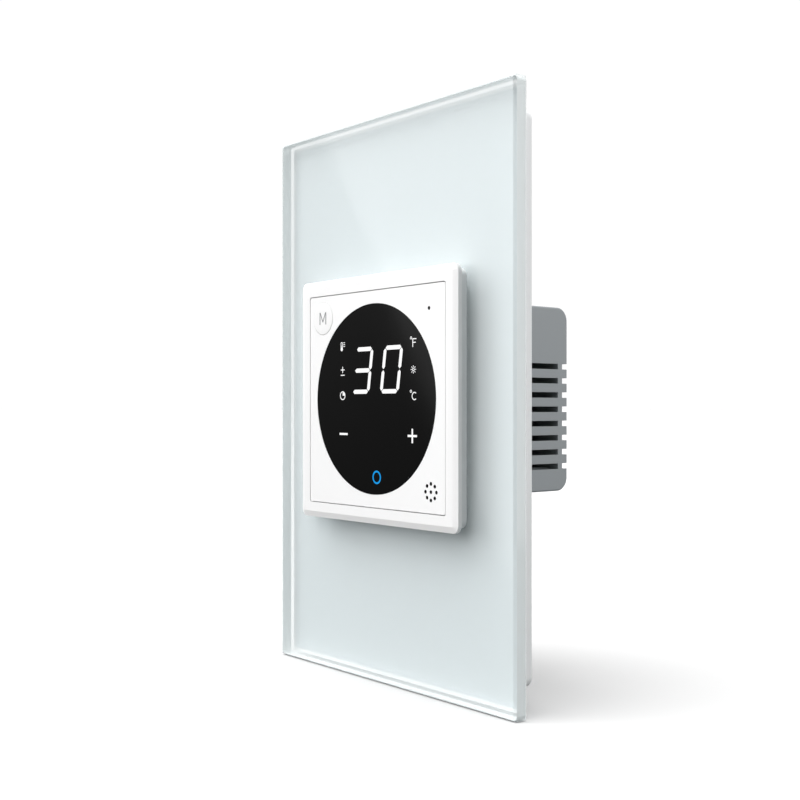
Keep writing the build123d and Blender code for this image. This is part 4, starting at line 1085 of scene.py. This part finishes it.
@dataclass
class SmallParts:
    """Chips, chip resistors and solder on the two circuit boards.

    Attributes:
        chip: Width, height and rise of the controller chip.
        leg: Width, reach and pitch of its legs.
        legs: Legs on each side.
        bead: Width, height and rise of a chip resistor.
    """

    chip: tuple[float, float, float] = (6.0 * MM, 6.0 * MM, 1.1 * MM)
    leg: tuple[float, float, float] = (0.3 * MM, 0.7 * MM, 0.8 * MM)
    legs: int = 7
    bead: tuple[float, float, float] = (1.6 * MM, 0.8 * MM, 0.45 * MM)

    def chips(self, body: str, name: str, middle: Vector, side: int) -> None:
        """Makes a chip with its legs.

        Args:
            body: Body that it rides on.
            name: Start of the pieces' names.
            middle: Its middle on the board's face.
            side: 1 where it stands towards +Y, -1 towards -Y.
        """
        width, height, rise = self.chip
        near, far = middle.y + side * 0.1 * MM, middle.y + side * rise
        half = Vector((width / 2, 0.0, height / 2))
        case = Shaper()
        outline = [Vector((middle.x + a * half.x, near, middle.z + b * half.z))
                   for a, b in ((-1, -1), (1, -1), (1, 1), (-1, 1))]
        case.prism(outline, Vector((0.0, far - near, 0.0)), 0.15 * MM)
        piece(f"{name}_chip", body, case.mesh, BLACK)
        legs = Shaper()
        across, reach, pitch = self.leg
        for index in range(self.legs):
            z = middle.z + (index - (self.legs - 1) / 2) * pitch
            for end in (-1, 1):
                start = middle.x + end * (half.x - 0.1 * MM)
                stop = start + end * reach
                outline = [Vector((x, middle.y, zz)) for x, zz in
                           ((start, z - across / 2), (stop, z - across / 2), (stop, z + across / 2), (start, z + across / 2))]
                legs.prism(outline, Vector((0.0, side * 0.35 * MM, 0.0)), 0.05 * MM)
        piece(f"{name}_legs", body, legs.mesh, TIN)

    def beads(self, body: str, name: str, places: list[Vector], side: int) -> None:
        """Makes a group of chip resistors with tinned ends."""
        width, height, rise = self.bead
        cores, ends = Shaper(), Shaper()
        for place in places:
            for shape, start, stop, lift in (
                (cores, -0.62, 0.62, rise),
                (ends, -1.0, -0.64, rise * 1.04),
                (ends, 0.64, 1.0, rise * 1.04),
            ):
                outline = [place + Vector((x * width / 2, 0.0, z * height / 2)) for x, z in
                           ((start, -1), (stop, -1), (stop, 1), (start, 1))]
                shape.prism(outline, Vector((0.0, side * lift, 0.0)), 0.06 * MM)
        piece(f"{name}_resistors", body, cores.mesh, BLACK)
        piece(f"{name}_ends", body, ends.mesh, TIN)

    def solder(self, body: str, name: str, places: list[Vector], side: int, radius: float) -> None:
        """Makes a group of domed solder joints."""
        shape = Shaper()
        for place in places:
            axis = Vector((place.x, 0.0, place.z))
            rise = [(radius, 0.0), (radius * 0.8, 0.25), (radius * 0.45, 0.6), (radius * 0.3, 0.95), (0.0, 1.0)]
            profile = [(0.0, place.y), *[(r, place.y + side * h * radius) for r, h in rise]]
            shape.turned(axis, profile, steps=20)
        made = piece(name, body, shape.mesh, TIN)
        made.data.shade_smooth()

    def display(self) -> None:
        """Makes the parts on the back of the display board."""
        low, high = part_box("display_board")
        back = high.y
        self.chips("display_unit", "display", Vector((low.x + 9 * MM, back, 8 * MM)), 1)
        places = [Vector((low.x + (18 + 3.2 * i) * MM, back, high.z - (6 + 2.2 * (i % 2)) * MM)) for i in range(5)]
        self.beads("display_unit", "display", places, 1)
        joints = [Vector((high.x - 6 * MM + 2 * MM * i, back, low.z + 7 * MM)) for i in range(2)]
        self.solder("display_unit", "display_solder", joints, 1, 0.5 * MM)

    def power(self) -> None:
        """Makes the parts and joints on the front of the power board."""
        low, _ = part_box("power_board")
        front = low.y
        joints = []
        for node, across, up in (("relay", 0.7, 0.8), ("transformer_core", 0.75, 1.05), ("terminal_contacts", 0.0, 0.0)):
            a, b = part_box(node)
            middle = (a + b) / 2
            if node == "terminal_contacts":
                count = 6
                for i in range(count):
                    x = a.x + 1.2 * MM + i * (b.x - a.x - 2.4 * MM) / (count - 1)
                    joints.append(Vector((x, front, a.z + 0.25 * MM)))
                continue
            half = (b - a) / 2
            joints += [Vector((middle.x + sx * half.x * across, front, middle.z + sz * half.z * up * 0.9))
                       for sx in (-1, 1) for sz in (-1, 1)]
        self.solder("base", "power_solder", joints, -1, 0.75 * MM)
        self.chips("base", "power", Vector((low.x + 8 * MM, front, -9 * MM)), -1)
        places = [Vector((low.x + (15 + 3.0 * i) * MM, front, low.z + (7 + 1.8 * (i % 3)) * MM)) for i in range(6)]
        self.beads("base", "power", places, -1)

    def build(self) -> None:
        """Makes everything on both boards."""
        self.display()
        self.power()


@dataclass
class Transformer:
    """Bobbin flanges and pins that the transformer's coil and core leave out.

    Attributes:
        plate: Thickness of a flange.
        pin: Radius of a pin.
        pins: Pins on each flange.
    """

    plate: float = 0.5 * MM
    pin: float = 0.3 * MM
    pins: int = 4

    def build(self) -> None:
        """Makes the flanges beyond the coil's ends, with pins down to the board."""
        low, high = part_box("transformer_coil")
        core_low, core_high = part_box("transformer_core")
        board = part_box("power_board")[1].y
        shape, pins = Shaper(), Shaper()
        for end, z in ((-1, low.z), (1, high.z)):
            first, last = sorted((z + end * 0.05 * MM, z + end * (0.05 * MM + self.plate)))
            outline = [Vector((x, board + 0.4 * MM, zz)) for x, zz in
                       ((low.x - 1 * MM, first), (high.x + 1 * MM, first), (high.x + 1 * MM, last), (low.x - 1 * MM, last))]
            shape.prism(outline, Vector((0.0, core_high.y - board - 1.5 * MM, 0.0)), 0.1 * MM)
            for i in range(self.pins):
                x = low.x + (i + 0.5) * (high.x - low.x) / self.pins
                axis = Vector((x, 0.0, (first + last) / 2))
                reach = 0.5 * MM
                pins.turned(axis, [(0.0, board), (self.pin * 0.7, board), (self.pin * 0.7, board + reach), (0.0, board + reach)], 16)
        piece("bobbin_flanges", "base", shape.mesh, BLACK)
        piece("bobbin_pins", "base", pins.mesh, TIN)


@dataclass
class Studio:
    """Floor, lights, surroundings and camera.

    Attributes:
        azimuth: Turn of the camera round the object, from the front.
        distance: Distance of the camera from the glass, along its view.
        sidestep: How far the camera stands to its right.
        height: Height of the camera over the object's middle.
        lens: Focal length in millimetres.
        rise: Upward shift of the picture, as a share of its width.
    """

    azimuth: float = radians(50.55)
    distance: float = 253.5 * MM
    sidestep: float = 3.6 * MM
    height: float = -1.75 * MM
    lens: float = 52.0
    rise: float = 0.0088
    surround: float = 1.0
    dim: float = 0.2
    below: float = 0.2
    through: float = 0.8
    floor_drop: float = 0.2 * MM
    lights: list[bpy.types.Object] = field(default_factory=list)

    def camera(self) -> None:
        """Makes the camera, level, at the angle that shows the right side."""
        ahead = Vector((-sin(self.azimuth), cos(self.azimuth), 0.0))
        right = Vector((cos(self.azimuth), sin(self.azimuth), 0.0))
        low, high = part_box("glass_panel")
        aim = Vector(((low.x + high.x) / 2, low.y, 0.0))
        data = bpy.data.cameras.new("camera")
        data.lens = self.lens
        data.shift_y = self.rise
        data.clip_start, data.clip_end = 1 * MM, 100.0
        made = bpy.data.objects.new("camera", data)
        made.location = aim - ahead * self.distance + right * self.sidestep + Vector((0.0, 0.0, self.height))
        made.rotation_euler = Euler((pi / 2, 0.0, self.azimuth))
        bpy.context.scene.collection.objects.link(made)
        bpy.context.scene.camera = made

    def floor(self) -> None:
        """Makes the pale floor just under the glass."""
        low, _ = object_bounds()
        mesh = bmesh.new()
        bmesh.ops.create_grid(mesh, x_segments=1, y_segments=1, size=20.0)
        bmesh.ops.translate(mesh, verts=mesh.verts, vec=Vector((0.0, 0.0, low.z - self.floor_drop)))
        data = bpy.data.meshes.new("floor")
        mesh.to_mesh(data)
        mesh.free()
        made = bpy.data.objects.new("floor", data)
        bpy.context.scene.collection.objects.link(made)
        data.materials.append(Moulded("floor_pale", (0.62, 0.62, 0.62), 0.8, grains=300.0, relief=0.0).material())
        made.visible_diffuse = False
        made.visible_glossy = False
        made.visible_transmission = False
        made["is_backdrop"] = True

    def card(self, name: str, facing: Vector, distance: float, offset: tuple[float, float],
             size: tuple[float, float], slant: float, radiance: float) -> None:
        """Makes a flat soft light.

        Args:
            name: Name of the light.
            facing: Direction from the object's middle to the plane of the light, which is square to it.
            distance: Distance of that plane.
            offset: How far the light's middle is moved in its plane, to the side and upwards.
            size: Its width and height.
            slant: Turn of the light in its plane.
            radiance: Brightness of its surface.
        """
        out = facing.normalized()
        across = Vector((0.0, 0.0, 1.0)).cross(out).normalized()
        upward = out.cross(across)
        data = bpy.data.lights.new(name, "AREA")
        data.shape = "RECTANGLE"
        data.size, data.size_y = size
        data.energy = radiance * pi * size[0] * size[1]
        made = bpy.data.objects.new(name, data)
        made.location = out * distance + across * offset[0] + upward * offset[1]
        flat = Matrix((across, upward, out)).transposed()
        made.rotation_euler = (flat @ Matrix.Rotation(slant, 3, "Z")).to_euler()
        made.visible_camera = False
        bpy.context.scene.collection.objects.link(made)
        self.lights.append(made)

    def sky_light(self, name: str, source: Vector, spread: float, level: float) -> None:
        """Makes a far light that reaches the whole floor evenly.

        Args:
            name: Name of the light.
            source: Direction that it comes from.
            spread: Its width as an angle, which softens its shadows.
            level: Brightness of a white surface that faces it.
        """
        data = bpy.data.lights.new(name, "SUN")
        data.angle = spread
        data.energy = level * pi
        made = bpy.data.objects.new(name, data)
        made.rotation_euler = source.to_track_quat("Z", "Y").to_euler()
        bpy.context.scene.collection.objects.link(made)
        self.lights.append(made)

    def surroundings(self) -> None:
        """Makes the white surroundings: full white to the eye, dimmer as a light on the camera's side."""
        world = bpy.data.worlds.new("studio")
        world.use_nodes = True
        nodes = NodeTree(world.node_tree)
        world.node_tree.nodes.clear()
        heading = nodes.add("ShaderNodeTexCoord").outputs["Generated"]
        toward = (sin(self.azimuth), -cos(self.azimuth), 0.0)
        facing = nodes.add("ShaderNodeVectorMath", {0: heading, 1: toward}, operation="DOT_PRODUCT").outputs["Value"]
        height = nodes.add("ShaderNodeSeparateXYZ", {"Vector": heading}).outputs[2]
        round_about = nodes.ramp(facing, (0.2, 0.95), (self.surround, self.dim))
        up_and_down = nodes.ramp(height, (-0.15, 0.2), (self.below, 1.0))
        light = nodes.math("MULTIPLY", round_about, up_and_down)
        path = nodes.add("ShaderNodeLightPath").outputs
        for ray, level in (("Is Transmission Ray", self.through), ("Is Camera Ray", 1.02)):
            strength = nodes.add("ShaderNodeMix", data_type="FLOAT")
            nodes.link(path[ray], strength.inputs["Factor"])
            nodes.link(light, strength.inputs[2])
            strength.inputs[3].default_value = level
            light = strength.outputs[0]
        shader = nodes.add("ShaderNodeBackground", {"Color": (1.0, 1.0, 1.0, 1.0)})
        nodes.link(light, shader.inputs["Strength"])
        output = nodes.add("ShaderNodeOutputWorld")
        nodes.link(shader.outputs[0], output.inputs["Surface"])
        bpy.context.scene.world = world

    def build(self) -> None:
        """Makes the whole studio."""
        self.camera()
        self.floor()
        self.surroundings()
        mirror = Vector((-sin(self.azimuth), -cos(self.azimuth), 0.0))
        self.card("reflection_card", mirror, 1.2, (0.43, 0.34), (0.95, 1.7), radians(22.8), 2.7)
        self.card("rim_light", Vector((0.9, 0.9, 0.3)), 1.3, (0.0, 0.0), (0.8, 1.0), 0.0, 3.1)
        self.sky_light("overhead_light", Vector((-0.12, -0.34, 1.0)), radians(64), 0.95)
        bpy.context.scene.view_settings.view_transform = "Standard"


def dress_frame() -> None:
    """Gives every CAD node its finish."""
    for name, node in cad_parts.items():
        node.data.materials.clear()
        node.data.materials.append(finish_of(name).material())
        LOG.info("%s dressed as %s", name, finish_of(name).name)


def corners(box: tuple[Vector, Vector]) -> list[list[float]]:
    """A box's two corners as plain lists."""
    return [list(corner) for corner in box]


def main() -> None:
    """Builds the looks in order."""
    logging.basicConfig(level=logging.INFO, format="%(name)s: %(message)s")
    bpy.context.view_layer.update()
    dress_frame()
    PrintedFilm().build()
    GroundEdge().build()
    DisplayMarks().build()
    ModeButton().build()
    SmallParts().build()
    Transformer().build()
    Studio().build()


if __name__ == "__main__":
    main()
